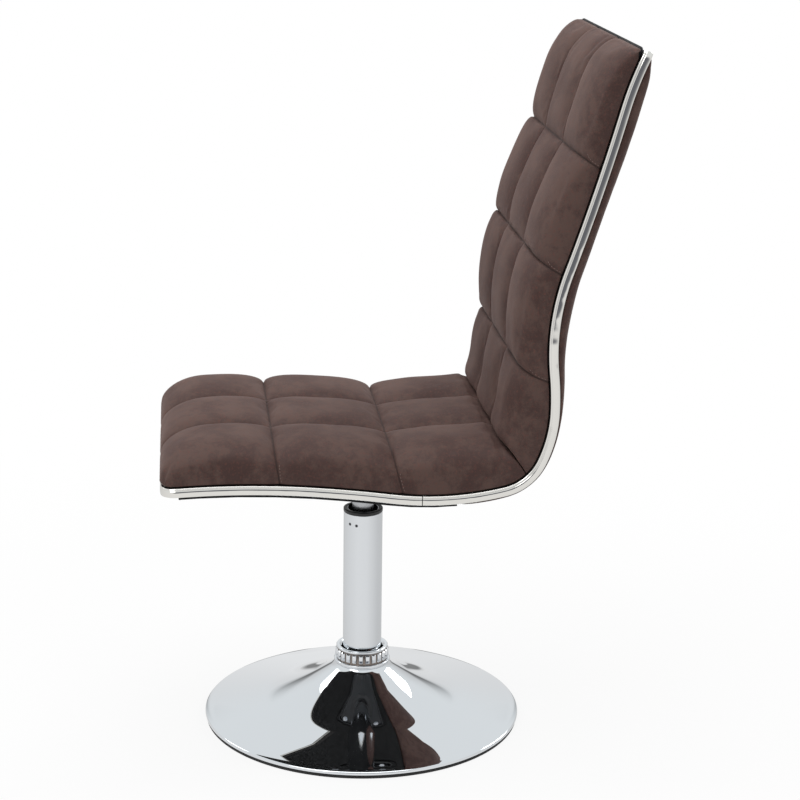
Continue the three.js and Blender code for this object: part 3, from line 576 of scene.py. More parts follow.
def close(form: BMesh, distance: float = 0.001) -> BMesh:
    """Joins points that lie together, caps open ends and turns all the faces outwards."""
    bmesh.ops.remove_doubles(form, verts=form.verts, dist=distance)
    bmesh.ops.holes_fill(form, edges=[edge for edge in form.edges if edge.is_boundary])
    bmesh.ops.recalc_face_normals(form, faces=form.faces)
    return form


def turned(corners: list[tuple], steps: int = 256) -> BMesh:
    """Turns an outline about the chair's axis.

    Args:
        corners: Radius and z of each corner, and how far it is rounded, if it is.
        steps: Steps round the axis.

    Returns:
        The closed form.
    """
    form = bmesh.new()
    bmesh.ops.spin(
        form, geom=outline(form, corners), cent=(0, 0, 0), axis=(0, 0, 1), angle=2 * math.pi, steps=steps,
        use_merge=True,
    )
    return close(form, 0.002)


def add_object(name: str, data: bpy.types.ID) -> bpy.types.Object:
    """Puts an object with its data in the scene."""
    made = bpy.data.objects.new(name, data)
    bpy.context.scene.collection.objects.link(made)
    return made


def add_mesh(name: str, form: BMesh) -> bpy.types.Object:
    """Puts an object with a form's mesh in the scene, and frees the form."""
    mesh = bpy.data.meshes.new(name)
    form.to_mesh(mesh)
    form.free()
    return add_object(name, mesh)


def finish_piece(
    name: str, form: BMesh, finish: Finish, body: Body, replaced: str = "", sharp: float = 35.0,
) -> bpy.types.Object:
    """Turns a form into a finished piece on its body.

    Args:
        name: The piece's name.
        form: Its form in millimetres, which this uses up.
        finish: Its surface.
        body: The body that it moves with.
        replaced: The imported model's node that it stands for, if there is one.
        sharp: Angle in degrees past which an edge is drawn sharp.

    Returns:
        The piece.
    """
    bmesh.ops.scale(form, vec=(MM, MM, MM), verts=form.verts)
    piece = add_mesh(name, form)
    mesh = piece.data
    mesh.shade_smooth()
    mesh.set_sharp_from_angle(angle=math.radians(sharp))
    mesh.materials.append(finish.material())
    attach(piece, body.value)
    if replaced:
        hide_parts(replaced)
    LOG.info("%s: %d faces, %s", name, len(mesh.polygons), finish.name)
    return piece


def dress_nodes(finish: Finish, *names: str) -> None:
    """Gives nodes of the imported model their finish.

    Args:
        finish: The surface.
        *names: The nodes.
    """
    for name in names:
        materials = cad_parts[name].data.materials
        materials.clear()
        materials.append(finish.material())
        LOG.info("%s: kept, %s", name, finish.name)


@dataclass
class RoundBase:
    """The base on the floor: a black ring, a spun disc and the iron weight inside it."""

    ring_low: float = 0.0
    ring_high: float = 4.2
    ring_inner: float = 194.5
    ring_outer: float = 203.5
    disc_low: float = 4.5
    rim_radius: float = 205.0
    rim_width: float = 3.9
    rim_top: tuple[float, float] = (203.6, 8.9)
    rim_slope: float = 0.24
    rim_run: float = 46.0
    face_slope: float = 0.214
    neck_slope: float = 0.637
    bend_reach: float = 36.0
    neck: tuple[float, float] = (37.0, 68.7)
    neck_top: tuple[float, float] = (34.6, 72.69)
    tube_hole: float = 25.3
    sheet: float = 2.5
    neck_inside: tuple[float, float] = (2.2, 1.2)
    bend_inside: tuple[float, float] = (1.0, 2.33)
    rim_inside: tuple[float, float] = (2.0, 2.4)

    def build(self) -> None:
        """Builds the ring and the disc, and dresses the weight."""
        finish_piece("rubber_floor_ring", self.floor_ring(), Finishes.rubber, Body.BASE, "base_floor_ring")
        finish_piece("spun_disc", self.disc(), Finishes.mirror, Body.BASE, "base_disc")
        dress_nodes(Finishes.iron, "base_ballast")

    def floor_ring(self) -> BMesh:
        """Returns the black ring under the rim."""
        return turned([
            (self.ring_inner, self.ring_low, 0.8), (self.ring_outer, self.ring_low, 0.8),
            (self.ring_outer, self.ring_high, 0.5), (self.ring_inner, self.ring_high, 0.5),
        ])

    def disc(self) -> BMesh:
        """Returns the spun disc: a rolled rim, the flared face and a neck turned in to the tube."""
        flare = self.flare()
        bend = self.bend(flare[-1])
        rim_high, top_z = self.rim_top[1], self.neck_top[1]
        return turned([
            (self.rim_radius - self.rim_width, self.disc_low, 0.5), (self.rim_radius, self.disc_low, 1.5),
            (self.rim_radius, rim_high + 0.1, 1.6), *flare, (*bend, self.bend_reach),
            (*self.neck, 3.4), (*self.neck_top, 0.8),
            (self.tube_hole, top_z), (self.tube_hole, top_z - self.sheet),
            (self.neck_top[0] - self.sheet, top_z - self.sheet),
            (self.neck[0] - self.neck_inside[0], self.neck[1] - self.neck_inside[1]),
            (bend[0] - self.bend_inside[0], bend[1] - self.bend_inside[1], self.bend_reach),
            *[(radius, z - self.sheet) for radius, z in reversed(flare[1:])],
            (self.rim_radius - self.rim_inside[0], rim_high - self.rim_inside[1]),
        ], 384)

    def flare(self) -> list[tuple[float, float]]:
        """Follows the disc's face in from the rim, where it turns down a little more, to its straight part.

        Returns:
            Radius and z of each step.
        """
        found = []
        for i in range(1, 9):
            share = i / 8
            mean = self.rim_slope - (self.rim_slope - self.face_slope) * share / 2
            run = self.rim_run * share
            found.append((self.rim_top[0] - run, self.rim_top[1] + run * mean))
        return found

    def bend(self, start: tuple[float, float]) -> tuple[float, float]:
        """Returns the corner where the disc's straight face, from its start, would meet the neck's side."""
        start_r, start_z = start
        neck_r, neck_z = self.neck
        level = neck_z + self.neck_slope * neck_r - start_z - self.face_slope * start_r
        radius = level / (self.neck_slope - self.face_slope)
        return radius, start_z + self.face_slope * (start_r - radius)


@dataclass
class Collar:
    """The cast collar round the foot of the tube, with its band of bevelled blocks."""

    low: float = 72.99
    bore: float = 26.8
    bore_edge: float = 2.4
    flange_radius: float = 36.4
    flange_height: float = 4.6
    band_radius: float = 32.4
    band_height: float = 15.0
    top_radius: float = 33.4
    top_height: float = 3.0
    block_count: int = 24
    block_depth: float = 2.3
    block_space: float = 2.0
    block_margin: float = 0.9
    block_root: float = 0.8
    block_top_share: float = 0.72
    block_round: float = 0.45

    def build(self) -> None:
        """Builds the collar as one piece."""
        form = self.body()
        self.add_blocks(form)
        finish_piece("cast_collar", form, Finishes.casting, Body.BASE, "base_collar")

    def body(self) -> BMesh:
        """Returns the turned body: a flange, a sunk band and a plain top."""
        band_low = self.low + self.flange_height
        band_high = band_low + self.band_height
        top = band_high + self.top_height
        return turned([
            (self.bore, self.low), (self.flange_radius, self.low, 0.8),
            (self.flange_radius, band_low, 0.9), (self.band_radius, band_low, 0.4),
            (self.band_radius, band_high, 0.4), (self.top_radius, band_high, 0.5),
            (self.top_radius, top, 1.0), (self.bore + self.bore_edge, top, 0.6),
            (self.bore, top - self.bore_edge),
        ], 192)

    def add_blocks(self, form: BMesh) -> None:
        """Adds the blocks to the collar's form, each a box with a tapered face and rounded edges."""
        depth = self.block_depth + self.block_root
        width = 2 * math.pi * self.band_radius / self.block_count - self.block_space
        tall = self.band_height - 2 * self.block_margin
        middle = self.low + self.flange_height + self.band_height / 2
        block = bmesh.ops.create_cube(form, size=1.0)["verts"]
        bmesh.ops.scale(form, vec=(depth, width, tall), verts=block)
        face = [vert for vert in block if vert.co.x > 0]
        bmesh.ops.scale(form, vec=(1, self.block_top_share, self.block_top_share), verts=face)
        edges = list({edge for vert in face for edge in vert.link_edges})
        rounded = bmesh.ops.bevel(
            form, geom=edges, offset=self.block_round, segments=3, profile=0.5, affect="EDGES", material=-1,
        )
        block = list({*rounded["verts"], *(vert for vert in block if vert.is_valid)})
        radius = self.band_radius - self.block_root + depth / 2
        bmesh.ops.translate(form, vec=(radius, 0, middle), verts=block)
        faces = list({face for vert in block for face in vert.link_faces})
        bmesh.ops.recalc_face_normals(form, faces=faces)
        step = 2 * math.pi / self.block_count
        bmesh.ops.rotate(form, cent=(0, 0, 0), matrix=Matrix.Rotation(step / 2, 3, "Z"), verts=block)
        for i in range(1, self.block_count):
            verts = only(bmesh.ops.duplicate(form, geom=faces)["geom"], BMVert)
            bmesh.ops.rotate(form, cent=(0, 0, 0), matrix=Matrix.Rotation(i * step, 3, "Z"), verts=verts)


@dataclass
class Column:
    """The fixed column: its chromed tube, the guide bush in its mouth, two spring clips and a washer."""

    tube_radius: float = 25.0
    tube_wall: float = 2.5
    tube_low: float = 17.3
    tube_high: float = 278.7
    bush_top: float = 283.2
    bush_body: float = 58.0
    bush_flange: float = 25.3
    bush_bore: float = 14.25
    recess_radius: float = 21.0
    recess_depth: float = 7.0
    clip_thickness: float = 1.1
    clip_stand_off: float = 0.5
    clip_half_angle: float = 24.0
    clip_height: float = 6.4
    end_step: float = 1.2

    def build(self) -> None:
        """Builds the tube, the bush and the clips, and dresses the washer."""
        finish_piece("chromed_tube", self.tube(), Finishes.tube, Body.BASE, "column_tube")
        finish_piece("guide_bush", self.bush(), Finishes.nylon, Body.BASE, "column_bush")
        for name, turn in (("front", -90.0), ("rear", 90.0)):
            form = self.clip(turn)
            finish_piece(f"spring_clip_{name}", form, Finishes.zinc, Body.BASE, f"column_clip_{name}")
        dress_nodes(Finishes.nylon, "column_thrust_washer")

    def tube(self) -> BMesh:
        """Returns the tube, with its cut edges broken. A step near each end keeps its side evenly shaded."""
        outer, low, high = self.tube_radius, self.tube_low, self.tube_high
        inner = outer - self.tube_wall
        return turned([
            (inner, low), (outer, low, 0.4), (outer, low + self.end_step), (outer, high - self.end_step),
            (outer, high, 0.5), (inner, high, 0.4),
        ])

    def bush(self) -> BMesh:
        """Returns the bush: a flange on the tube's mouth, a body inside it and a recess for the clips."""
        body, bore, top = self.tube_radius - self.tube_wall - GAP, self.bush_bore, self.bush_top
        foot, seat, recess = self.tube_high - self.bush_body, self.tube_high + GAP, top - self.recess_depth
        return turned([
            (bore, foot), (body, foot, 0.6), (body, seat), (self.bush_flange, seat, 0.3),
            (self.bush_flange, top, 1.0), (self.recess_radius, top, 0.4), (self.recess_radius, recess),
            (bore, recess, 0.5),
        ], 192)

    def clip(self, turn: float) -> BMesh:
        """Makes a spring clip from a section that is carried round part of the bush's recess.

        Args:
            turn: Degrees round the axis to the clip's middle.

        Returns:
            The clip's form.
        """
        outer = self.recess_radius - self.clip_stand_off
        inner = outer - self.clip_thickness
        low = self.bush_top - self.recess_depth + GAP
        high = low + self.clip_height
        form = bmesh.new()
        corners = [(inner, low, 0.2), (outer, low, 0.2), (outer, high, 0.45), (inner, high, 0.45)]
        start = Matrix.Rotation(math.radians(turn - self.clip_half_angle), 4, "Z")
        bmesh.ops.spin(
            form, geom=outline(form, corners, start), cent=(0, 0, 0), axis=(0, 0, 1),
            angle=math.radians(2 * self.clip_half_angle), steps=24,
        )
        return close(form)


@dataclass
class TurningGear:
    """What turns under the seat: the rod with its nut, the hub, and the plate bolted to the board."""

    rod_radius: float = 14.0
    rod_wall: float = 2.0
    shoulder: float = 20.1
    journal_radius: float = 6.0
    journal_length: float = 15.6
    floor: float = 8.0
    rod_top: float = 336.2
    end_step: float = 1.2

    def build(self) -> None:
        """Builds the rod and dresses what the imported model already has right."""
        finish_piece("turning_rod", self.rod(), Finishes.rod, Body.SEAT, "seat_spindle")
        dress_nodes(Finishes.zinc, "spindle_washer", "spindle_nut")
        dress_nodes(Finishes.paint, "seat_hub", "seat_plate")
        for kind in ("seat_bolt", "seat_tee_nut"):
            dress_nodes(Finishes.zinc, *(f"{kind}_{i}" for i in range(1, 5)))

    def rod(self) -> BMesh:
        """Returns the rod: a journal, a shoulder and a tube up into the hub."""
        outer, journal, top = self.rod_radius, self.journal_radius, self.rod_top
        bore = outer - self.rod_wall
        foot, floor = self.shoulder - self.journal_length, self.shoulder + self.floor
        return turned([
            (0.0, foot), (journal, foot, 0.8), (journal, self.shoulder), (outer, self.shoulder, 1.2),
            (outer, top - self.end_step), (outer, top, 0.5), (bore, top), (bore, floor), (0.0, floor),
        ], 128)


@dataclass(frozen=True)
class SideLine:
    """The board's side line: where it starts, and the run and turn in degrees of each of its bends.

    The cushions part at shares of the bend between seat and back, one at their feet and one at the top.
    No step of a drawn arc is longer than the step length, or turns more than the step's degrees.
    """

    y: float = -257.0
    z: float = 366.0
    tilt: float = 4.35
    bends: tuple[tuple[float, float], ...] = (
        (185.2, -9.3), (89.3, -3.0), (137.8, 20.9), (57.2, 52.3), (63.7, 23.5), (47.2, 7.9),
        (124.3, -25.9), (199.0, 4.1), (69.6, -10.6),
    )
    foot_parting: float = 0.59
    top_parting: float = 0.886
    step_degrees: float = 1.2
    step_length: float = 9.0

    @property
    def total(self) -> float:
        """The line's whole length."""
        return sum(run for run, _ in self.bends)

    @property
    def seat(self) -> float:
        """Its length over the seat, up to the corner to the back."""
        return sum(run for run, _ in self.bends[:3])

    def crease(self, share: float) -> float:
        """Returns the run at a share of the bend between seat and back, such as one of the partings."""
        return self.seat + share * self.bends[3][0]

    def at(self, run: float) -> tuple[float, float, float]:
        """Finds the place and the heading at a run. Past its ends the line goes straight on.

        Args:
            run: Length along the line.

        Returns:
            The place's y and z, and the heading in radians.
        """
        y, z, heading = self.y, self.z, math.radians(self.tilt)
        pieces = [(min(run, 0.0), 0.0)]
        left = max(run, 0.0)
        for length, turn in self.bends:
            part = min(left, length)
            pieces.append((part, math.radians(turn) * part / length))
            left -= part
        pieces.append((left, 0.0))
        for length, turn in pieces:
            chord = length * (math.sin(turn / 2) / (turn / 2) if turn else 1.0)
            y += chord * math.cos(heading + turn / 2)
            z += chord * math.sin(heading + turn / 2)
            heading += turn
        return y, z, heading

    def place(self, x: float, run: float, height: float) -> Vector:
        """Returns the point at an x, a run and a height off the line."""
        y, z, heading = self.at(run)
        return Vector((x, y - height * math.sin(heading), z + height * math.cos(heading)))

    @staticmethod
    def axes(heading: float) -> tuple[Vector, Vector]:
        """Returns the direction along the line at a heading, and the direction off the board."""
        cos, sin = math.cos(heading), math.sin(heading)
        return Vector((0, cos, sin)), Vector((0, -sin, cos))

    def arcs(self, start: float, end: float) -> list[tuple[Vector, float, int]]:
        """Cuts the line between two runs into arcs, in the order from the first run to the second.

        Args:
            start: The run that the arcs start at.
            end: The run that they end at, which may be the lower of the two.

        Returns:
            Each arc's centre, its angle about +X in radians, and the steps to draw it in.
        """
        low, high = min(start, end), max(start, end)
        found = []
        bend_start = 0.0
        for length, turn in self.bends:
            from_run, to_run = max(low, bend_start), min(high, bend_start + length)
            if to_run - from_run > CLOSE:
                y, z, heading = self.at(from_run)
                radius = length / math.radians(turn)
                centre = Vector((0, y - radius * math.sin(heading), z + radius * math.cos(heading)))
                angle = (to_run - from_run) / radius
                turns = abs(math.degrees(angle)) / self.step_degrees
                steps = math.ceil(max(turns, (to_run - from_run) / self.step_length))
                found.append((centre, angle, max(2, steps)))
            bend_start += length
        if end < start:
            found = [(centre, -angle, steps) for centre, angle, steps in reversed(found)]
        return found


LINE = SideLine()


@dataclass
class EdgeTrim:
    """A section carried along the board's edge: down its sides, and round its front or its top.

    The section's corners are how far out they lie from the board's side, and their height. Each end
    step is how far the section goes on and the share that it shrinks to, which rounds its end over.
    """

    section: tuple | list
    half_width: float = 180.7
    front_corner: float = 15.0
    top_corner: float = 8.0
    front_start: float = 6.3
    top_rise: float = 0.0
    end_steps: tuple[tuple[float, float], ...] = ((0.5, 0.97), (0.45, 0.9), (0.3, 0.78))
    wrap_steps: int = 8
    corner_steps: int = 14

    def along_side(self, start: float, wrap: float, side: int) -> BMesh:
        """Carries the section up one side of the board and some way round its top corner.

        Args:
            start: Run of its first end.
            wrap: Degrees that it goes round the corner, before its end is rounded over.
            side: 1 for the sitter's left, -1 for the right.

        Returns:
            The closed form.
        """
        form = bmesh.new()
        y, z, heading = LINE.at(start)
        lift = Matrix.Translation((self.half_width, y, z)) @ Matrix.Rotation(heading, 4, "X")
        corner_run = LINE.total - self.top_corner
        last = self.follow(form, outline(form, self.section, lift), start, corner_run)
        y, z, heading = LINE.at(corner_run)
        ahead, normal = LINE.axes(heading)
        last = bmesh.ops.spin(
            form, geom=last, cent=(self.half_width - self.top_corner, y, z), axis=normal,
            angle=math.radians(wrap), steps=self.wrap_steps,
        )["geom_last"]
        ahead = Matrix.Rotation(math.radians(wrap), 3, normal) @ ahead
        for step, share in self.end_steps:
            verts, edges = grow(form, only(last, BMEdge), ahead * step)
            middle = sum((vert.co for vert in verts), Vector()) / len(verts)
            bmesh.ops.scale(form, vec=(share, share, share), space=Matrix.Translation(-middle), verts=verts)
            last = edges
        if side < 0:
            bmesh.ops.scale(form, vec=(-1, 1, 1), verts=form.verts)
        return close(form)

    def around_end(self, side_run: float, edge: Edge) -> BMesh:
        """Carries the section from one side round an end of the board to the other side.

        Args:
            side_run: Run at which it ends on both sides.
            edge: The end that it goes round.

        Returns:
            The closed form.
        """
        radius = self.front_corner if edge is Edge.FRONT else self.top_corner
        corner_run = self.front_start + radius if edge is Edge.FRONT else LINE.total - radius
        y, z, heading = LINE.at(corner_run)
        ahead, normal = LINE.axes(heading)
        centre = Vector((self.half_width - radius, y, z))
        quarter = edge.value * math.pi / 2
        outwards = Matrix.Rotation(quarter, 4, "Z") @ Matrix.Translation((radius, 0, 0))
        lift = Matrix.Translation((0, y, z)) @ Matrix.Rotation(heading, 4, "X") @ outwards
        form = bmesh.new()
        first = only(outline(form, self.section, lift), BMEdge)
        verts, edges = grow(form, first, Vector((centre.x, 0, 0)))
        made = bmesh.ops.spin(
            form, geom=[*verts, *edges], cent=centre, axis=normal, angle=-quarter, steps=self.corner_steps,
        )
        if edge is Edge.TOP:
            self.raise_top(form, centre, ahead)
        self.follow(form, made["geom_last"], corner_run, side_run)
        bmesh.ops.mirror(form, geom=[*form.verts, *form.edges, *form.faces], axis="X", merge_dist=0.001)
        return close(form)

    def raise_top(self, form: BMesh, centre: Vector, ahead: Vector) -> None:
        """Moves the stretch along the top outwards, by less and less round its corner.

        Args:
            form: The form, as far as the corner.
            centre: The corner's centre.
            ahead: The side line's direction there.
        """
        for vert in form.verts:
            run = (vert.co - centre).dot(ahead)
            past = max(vert.co.x - centre.x, 0.0)
            vert.co += ahead * self.top_rise * run / math.hypot(run, past)

    @staticmethod
    def follow(form: BMesh, last: list, start: float, end: float) -> list:
        """Carries the last loop along the side line, one spin for each bend, and returns the new last one."""
        for centre, angle, steps in LINE.arcs(start, end):
            made = bmesh.ops.spin(form, geom=last, cent=centre, axis=(1, 0, 0), angle=angle, steps=steps)
            last = made["geom_last"]
        return last


@dataclass
class BoardAndTrim:
    """The bent board with its chrome strip in three lengths, and the cord inside the strip."""

    strip_joint_share: float = 0.757
    joint_gap: float = 1.0
    strip_section: tuple[tuple[float, ...], ...] = (
        (0.3, -6.0), (5.7, -6.0, 0.9), (6.4, -2.5, 3.1), (5.9, 1.5, 0.2), (5.1, 2.4, 0.5),
        (5.8, 3.3, 0.2), (4.7, 5.4, 0.9), (3.2, 4.9, 0.6), (0.3, 3.2),
    )
    strip_wrap: float = 38.0
    cord_radius: float = 2.2
    cord_out: float = -2.35
    cord_height: float = 7.5
    cord_top_rise: float = 2.55

    def build(self) -> None:
        """Builds the strips and the cord, and dresses the boards."""
        joint = self.strip_joint_share * LINE.seat
        trim = EdgeTrim(self.strip_section)
        front = trim.around_end(joint - self.joint_gap / 2, Edge.FRONT)
        finish_piece("front_edge_strip", front, Finishes.strip, Body.SEAT, "front_strip")
        for name, side in (("left", 1), ("right", -1)):
            form = trim.along_side(joint + self.joint_gap / 2, self.strip_wrap, side)
            finish_piece(f"{name}_edge_strip", form, Finishes.strip, Body.SEAT, f"back_strip_{name}")
        cord = EdgeTrim(self.cord_section(), top_rise=self.cord_top_rise)
        crease = LINE.crease(LINE.foot_parting)
        for name, edge in (("seat", Edge.FRONT), ("back", Edge.TOP)):
            form = cord.around_end(crease + edge.value * GAP, edge)
            finish_piece(f"{name}_cord", form, Finishes.vinyl, Body.SEAT, f"{name}_piping")
        dress_nodes(Finishes.plywood, "seat_board")
        dress_nodes(Finishes.cloth, "seat_under_board")

    def cord_section(self) -> list[tuple[float, float]]:
        """Returns the cord's round section as twelve corners."""
        angles = [i * math.pi / 6 for i in range(12)]
        return [(
            self.cord_out + self.cord_radius * math.cos(angle),
            self.cord_height + self.cord_radius * math.sin(angle),
        ) for angle in angles]


@dataclass(frozen=True)
class Roll:
    """How a pad rises from an edge: upright to a first level, then over a quarter of an ellipse."""

    length: float
    level: float

    def risen(self, distance: float) -> float:
        """Returns the share of the full height at a distance from the edge."""
        left = 1 - clamped(distance / self.length)
        return self.level + (1 - self.level) * math.sqrt(1 - left ** 2)


@dataclass(frozen=True)
class SmoothCurve:
    """A smooth line through values that stand at shares of the whole."""

    shares: tuple[float, ...]
    values: tuple[float, ...]

    def slope(self, i: int) -> float:
        """Returns the slope at a stop, from its neighbours."""
        before, after = max(i - 1, 0), min(i + 1, len(self.shares) - 1)
        return (self.values[after] - self.values[before]) / (self.shares[after] - self.shares[before])

    def value(self, share: float) -> float:
        """Returns the value at a share of the whole."""
        at = clamped(share)
        k = 0
        while k + 2 < len(self.shares) and at > self.shares[k + 1]:
            k += 1
        width = self.shares[k + 1] - self.shares[k]
        t = (at - self.shares[k]) / width
        even = self.values[k] + (self.values[k + 1] - self.values[k]) * t * t * (3 - 2 * t)
        start_pull = t * (1 - t) ** 2 * width * self.slope(k)
        end_pull = t ** 2 * (t - 1) * width * self.slope(k + 1)
        return even + start_pull + end_pull


@dataclass(frozen=True)
class Ring:
    """A ring round a pad's side: how far in it lies, its height, and how far down the side towards it."""

    inset: float
    height: float
    part: float = 1.0


@dataclass(frozen=True)
class Fold:
    """A soft fold in the cover along the run: where it lies, how wide and long it is, and its depth."""

    x: float
    run: float
    width: float
    length: float
    depth: float

    def dip(self, x: float, run: float) -> float:
        """Returns how deep the fold is at a place."""
        away = ((x - self.x) / self.width) ** 2 + ((run - self.run) / self.length) ** 2
        return self.depth * math.exp(-away)


@dataclass(frozen=True)
class GridLine:
    """A line of a pad's grid, across it or along it.

    Its swing is 1 on a seam, and 0 midway between two and in the outer half of an outer tuft. A line
    along the run also has a place at the pad's foot.
    """

    place: float
    swing: float
    from_seam: float
    foot: float = 0.0


@dataclass
class Pad:
    """A padded cover on the board: its seams, how full it is, and how its edges roll over."""

    name: str
    node: str
    half_width: float
    start: float
    end: float
    foot_start: float
    foot_end: float
    top_seams: tuple[float, ...]
    foot_seams: tuple[float, ...]
    crown: SmoothCurve
    start_roll: Roll
    end_roll: Roll
    side_roll: Roll
    start_draw: float
    end_draw: float
    draw_length: float
    corner: float
    edge: Edge
    rings: tuple[Ring, ...]
    side_seams: tuple[float, ...] = (-1.0, -1 / 3, 1 / 3, 1.0)
    folds: tuple[Fold, ...] = ()
    seam_depth: float = 13.0
    groove_depth: float = 2.2
    clear_height: float = 0.0
    clear_from: float = 9.0
    clear_over: float = 5.0
    clear_spread: float = 0.1
    face: int = 1
    low: float = 5.3
    cell: float = 4.8
    gather: float = 0.6
    pillow_power: float = 3.2
    pillow_round: float = 1.9
    groove_power: float = 16.0
    groove_fade: int = 6
    crease: float = 0.5
    hold: float = 0.6
    fill: float = 0.9
    fill_frames: int = 20
    slack: float = 0.004
    swell_cap: float = 1.2

    def lines(self, seams: tuple[float, ...], length: float) -> list[GridLine]:
        """Sets out lines from seam to seam, closer together near the seams.

        Args:
            seams: Where the seams and the two ends stand.
            length: Length in millimetres of one unit of them.

        Returns:
            The lines, in order.
        """
        found = []
        for k, (seam, nxt) in enumerate(zip(seams, seams[1:])):
            steps = max(2, 2 * round((nxt - seam) * length / self.cell / 2))
            for i in range(steps):
                share = i / steps - self.gather * math.sin(2 * math.pi * i / steps) / (2 * math.pi)
                outer = (k == 0 and share < 0.5) or (k + 2 == len(seams) and share > 0.5)
                swing, near = abs(2 * share - 1), min(share, 1 - share) * (nxt - seam) * length
                found.append(GridLine(
                    seam + (nxt - seam) * share, 0.0 if outer else swing, FAR_OFF if outer else near,
                ))
        return [*found, GridLine(seams[-1], 0.0, FAR_OFF)]

    def along(self) -> list[GridLine]:
        """Returns the lines that lie across the pad, each with its run at the top and at the foot."""
        found = []
        for line in self.lines(self.top_seams, self.end - self.start):
            k = max(i for i, seam in enumerate(self.top_seams[:-1]) if line.place >= seam - 1e-9)
            part = (line.place - self.top_seams[k]) / (self.top_seams[k + 1] - self.top_seams[k])
            foot = self.foot_seams[k] + (self.foot_seams[k + 1] - self.foot_seams[k]) * part
            found.append(replace(
                line, place=self.start + (self.end - self.start) * line.place,
                foot=self.foot_start + (self.foot_end - self.foot_start) * foot,
            ))
        return found

    def crest(self, line: GridLine, cross: GridLine) -> float:
        """Returns the height of the pad's top where a line across it meets a line along it."""
        full = self.crown.value((line.place - self.start) / (self.end - self.start))
        tuft = 1.0
        for swing in (line.swing, cross.swing):
            tuft *= (1 - swing ** self.pillow_power) ** (1 / self.pillow_round)
        rise = self.start_roll.risen(line.place - self.start) * self.end_roll.risen(self.end - line.place)
        rise *= self.side_roll.risen((1 - abs(cross.place)) * self.half_width)
        dip = sum(fold.dip(cross.place * self.half_width, line.place) for fold in self.folds)
        return self.low + (full - self.seam_depth * (1 - tuft) - dip - self.low) * rise

    def ring_height(self, ring: Ring, crest: float, from_end: float) -> float:
        """Finds a ring's height. Near the pad's end it clears the cord, which comes further out there.

        Args:
            ring: The ring.
            crest: Height of the pad's top above it.
            from_end: Distance from the pad's end.

        Returns:
            The height.
        """
        height = crest + (ring.height - crest) * ring.part
        if self.clear_height and ring.height > self.low:
            clear = self.clear_height - self.clear_spread * (self.clear_height - ring.height)
            height += max(clear - height, 0.0) * clamped((self.clear_from - from_end) / self.clear_over)
        return height

    def point(self, line: GridLine, cross: GridLine, ring: Ring | None) -> Vector:
        """Finds where two lines of the pad cross.

        Args:
            line: The line across the pad.
            cross: The line along it.
            ring: The ring round the side, or None for the pad's top.

        Returns:
            The point.
        """
        from_start, from_end = line.place - self.start, self.end - line.place
        crest = self.crest(line, cross)
        height = self.ring_height(ring, crest, from_end) if ring else crest
        edge = max(abs(cross.place), 1 - min(from_start, from_end) / self.half_width)
        groove = self.groove_depth * max(line.swing, cross.swing) ** self.groove_power
        groove *= edge ** self.groove_fade
        inset = groove + (ring.inset if ring else 0.0)
        shift = inset * self.start_draw * max(0.0, 1 - from_start / self.draw_length)
        shift -= inset * self.end_draw * max(0.0, 1 - from_end / self.draw_length)
        full = self.crown.value(from_start / (self.end - self.start))
        share = clamped((height - self.low) / (full - self.low))
        run = line.foot + (line.place - line.foot) * share + shift
        half = self.half_width - inset
        x, run = self.in_corner(cross.place * half, half, run, inset)
        return LINE.place(x, run, self.face * height)

    def in_corner(self, x: float, half: float, run: float, inset: float) -> tuple[float, float]:
        """Rounds the pad's square corners.

        Args:
            x: Place from side to side.
            half: Half the width there.
            run: Place along the board.
            inset: How far in the ring lies.

        Returns:
            The new x and run.
        """
        way = self.edge.value
        draw = self.end_draw if self.edge is Edge.TOP else self.start_draw
        corner_run = (self.end if self.edge is Edge.TOP else self.start) - way * inset * draw
        radius = max(self.corner - inset, 1.0)
        past_x = 1 - (half - abs(x)) / radius
        past_run = 1 + way * (run - corner_run) / radius
        if past_x <= 0 or past_run <= 0:
            return x, run
        share = max(past_x, past_run) / math.hypot(past_x, past_run)
        new_x = math.copysign(half - radius + radius * past_x * share, x)
        return new_x, corner_run - way * radius * (1 - past_run * share)

    def form(self) -> BMesh:
        """Makes the sewn cover: a grid for its top, rings down its side, and a flat back.

        Returns:
            The closed form. Its vertices know how they are held and how far they lie from a seam, and
            the edges on a seam are creased.
        """
        along, across = self.along(), self.lines(self.side_seams, self.half_width)
        form = bmesh.new()
        column, row, held, seam = (form.verts.layers.float.new(name) for name in (
            "column", "row", "held", "seam_mm",
        ))
        crease = form.edges.layers.float.new("crease_edge")
        rows, columns = len(along) - 1, len(across) - 1
        bmesh.ops.create_grid(form, x_segments=columns, y_segments=rows, size=0.5)
        for vert in form.verts:
            vert[column] = round((vert.co.x + 0.5) * columns)
            vert[row] = round((vert.co.y + 0.5) * rows)
        cover = list(form.faces)

        def settle(verts: list, ring: Ring | None, pin: float) -> None:
            """Moves vertices to their places on a ring, or on the top, and says how they are held there."""
            for vert in verts:
                line, cross = along[round(vert[row])], across[round(vert[column])]
                vert.co = self.point(line, cross, ring)
                vert[seam] = min(line.from_seam, cross.from_seam)
                vert[held] = 1.0 if vert[seam] < CLOSE else pin

        back = bmesh.ops.duplicate(form, geom=cover)["geom"]
        settle(only(back, BMVert), self.rings[-1], 1.0)
        bmesh.ops.reverse_faces(form, faces=only(back, BMFace))
        settle(list({vert for face in cover for vert in face.verts}), None, 0.0)
        rim = [edge for face in cover for edge in face.edges if edge.is_boundary]
        for ring in self.rings:
            verts, rim = grow(form, rim)
            settle(verts, ring, 1.0 if ring.part == 1.0 else self.hold)
        close(form, CLOSE)
        for edge in form.edges:
            edge[crease] = self.crease if all(vert[seam] < CLOSE for vert in edge.verts) else 0.0
        return form

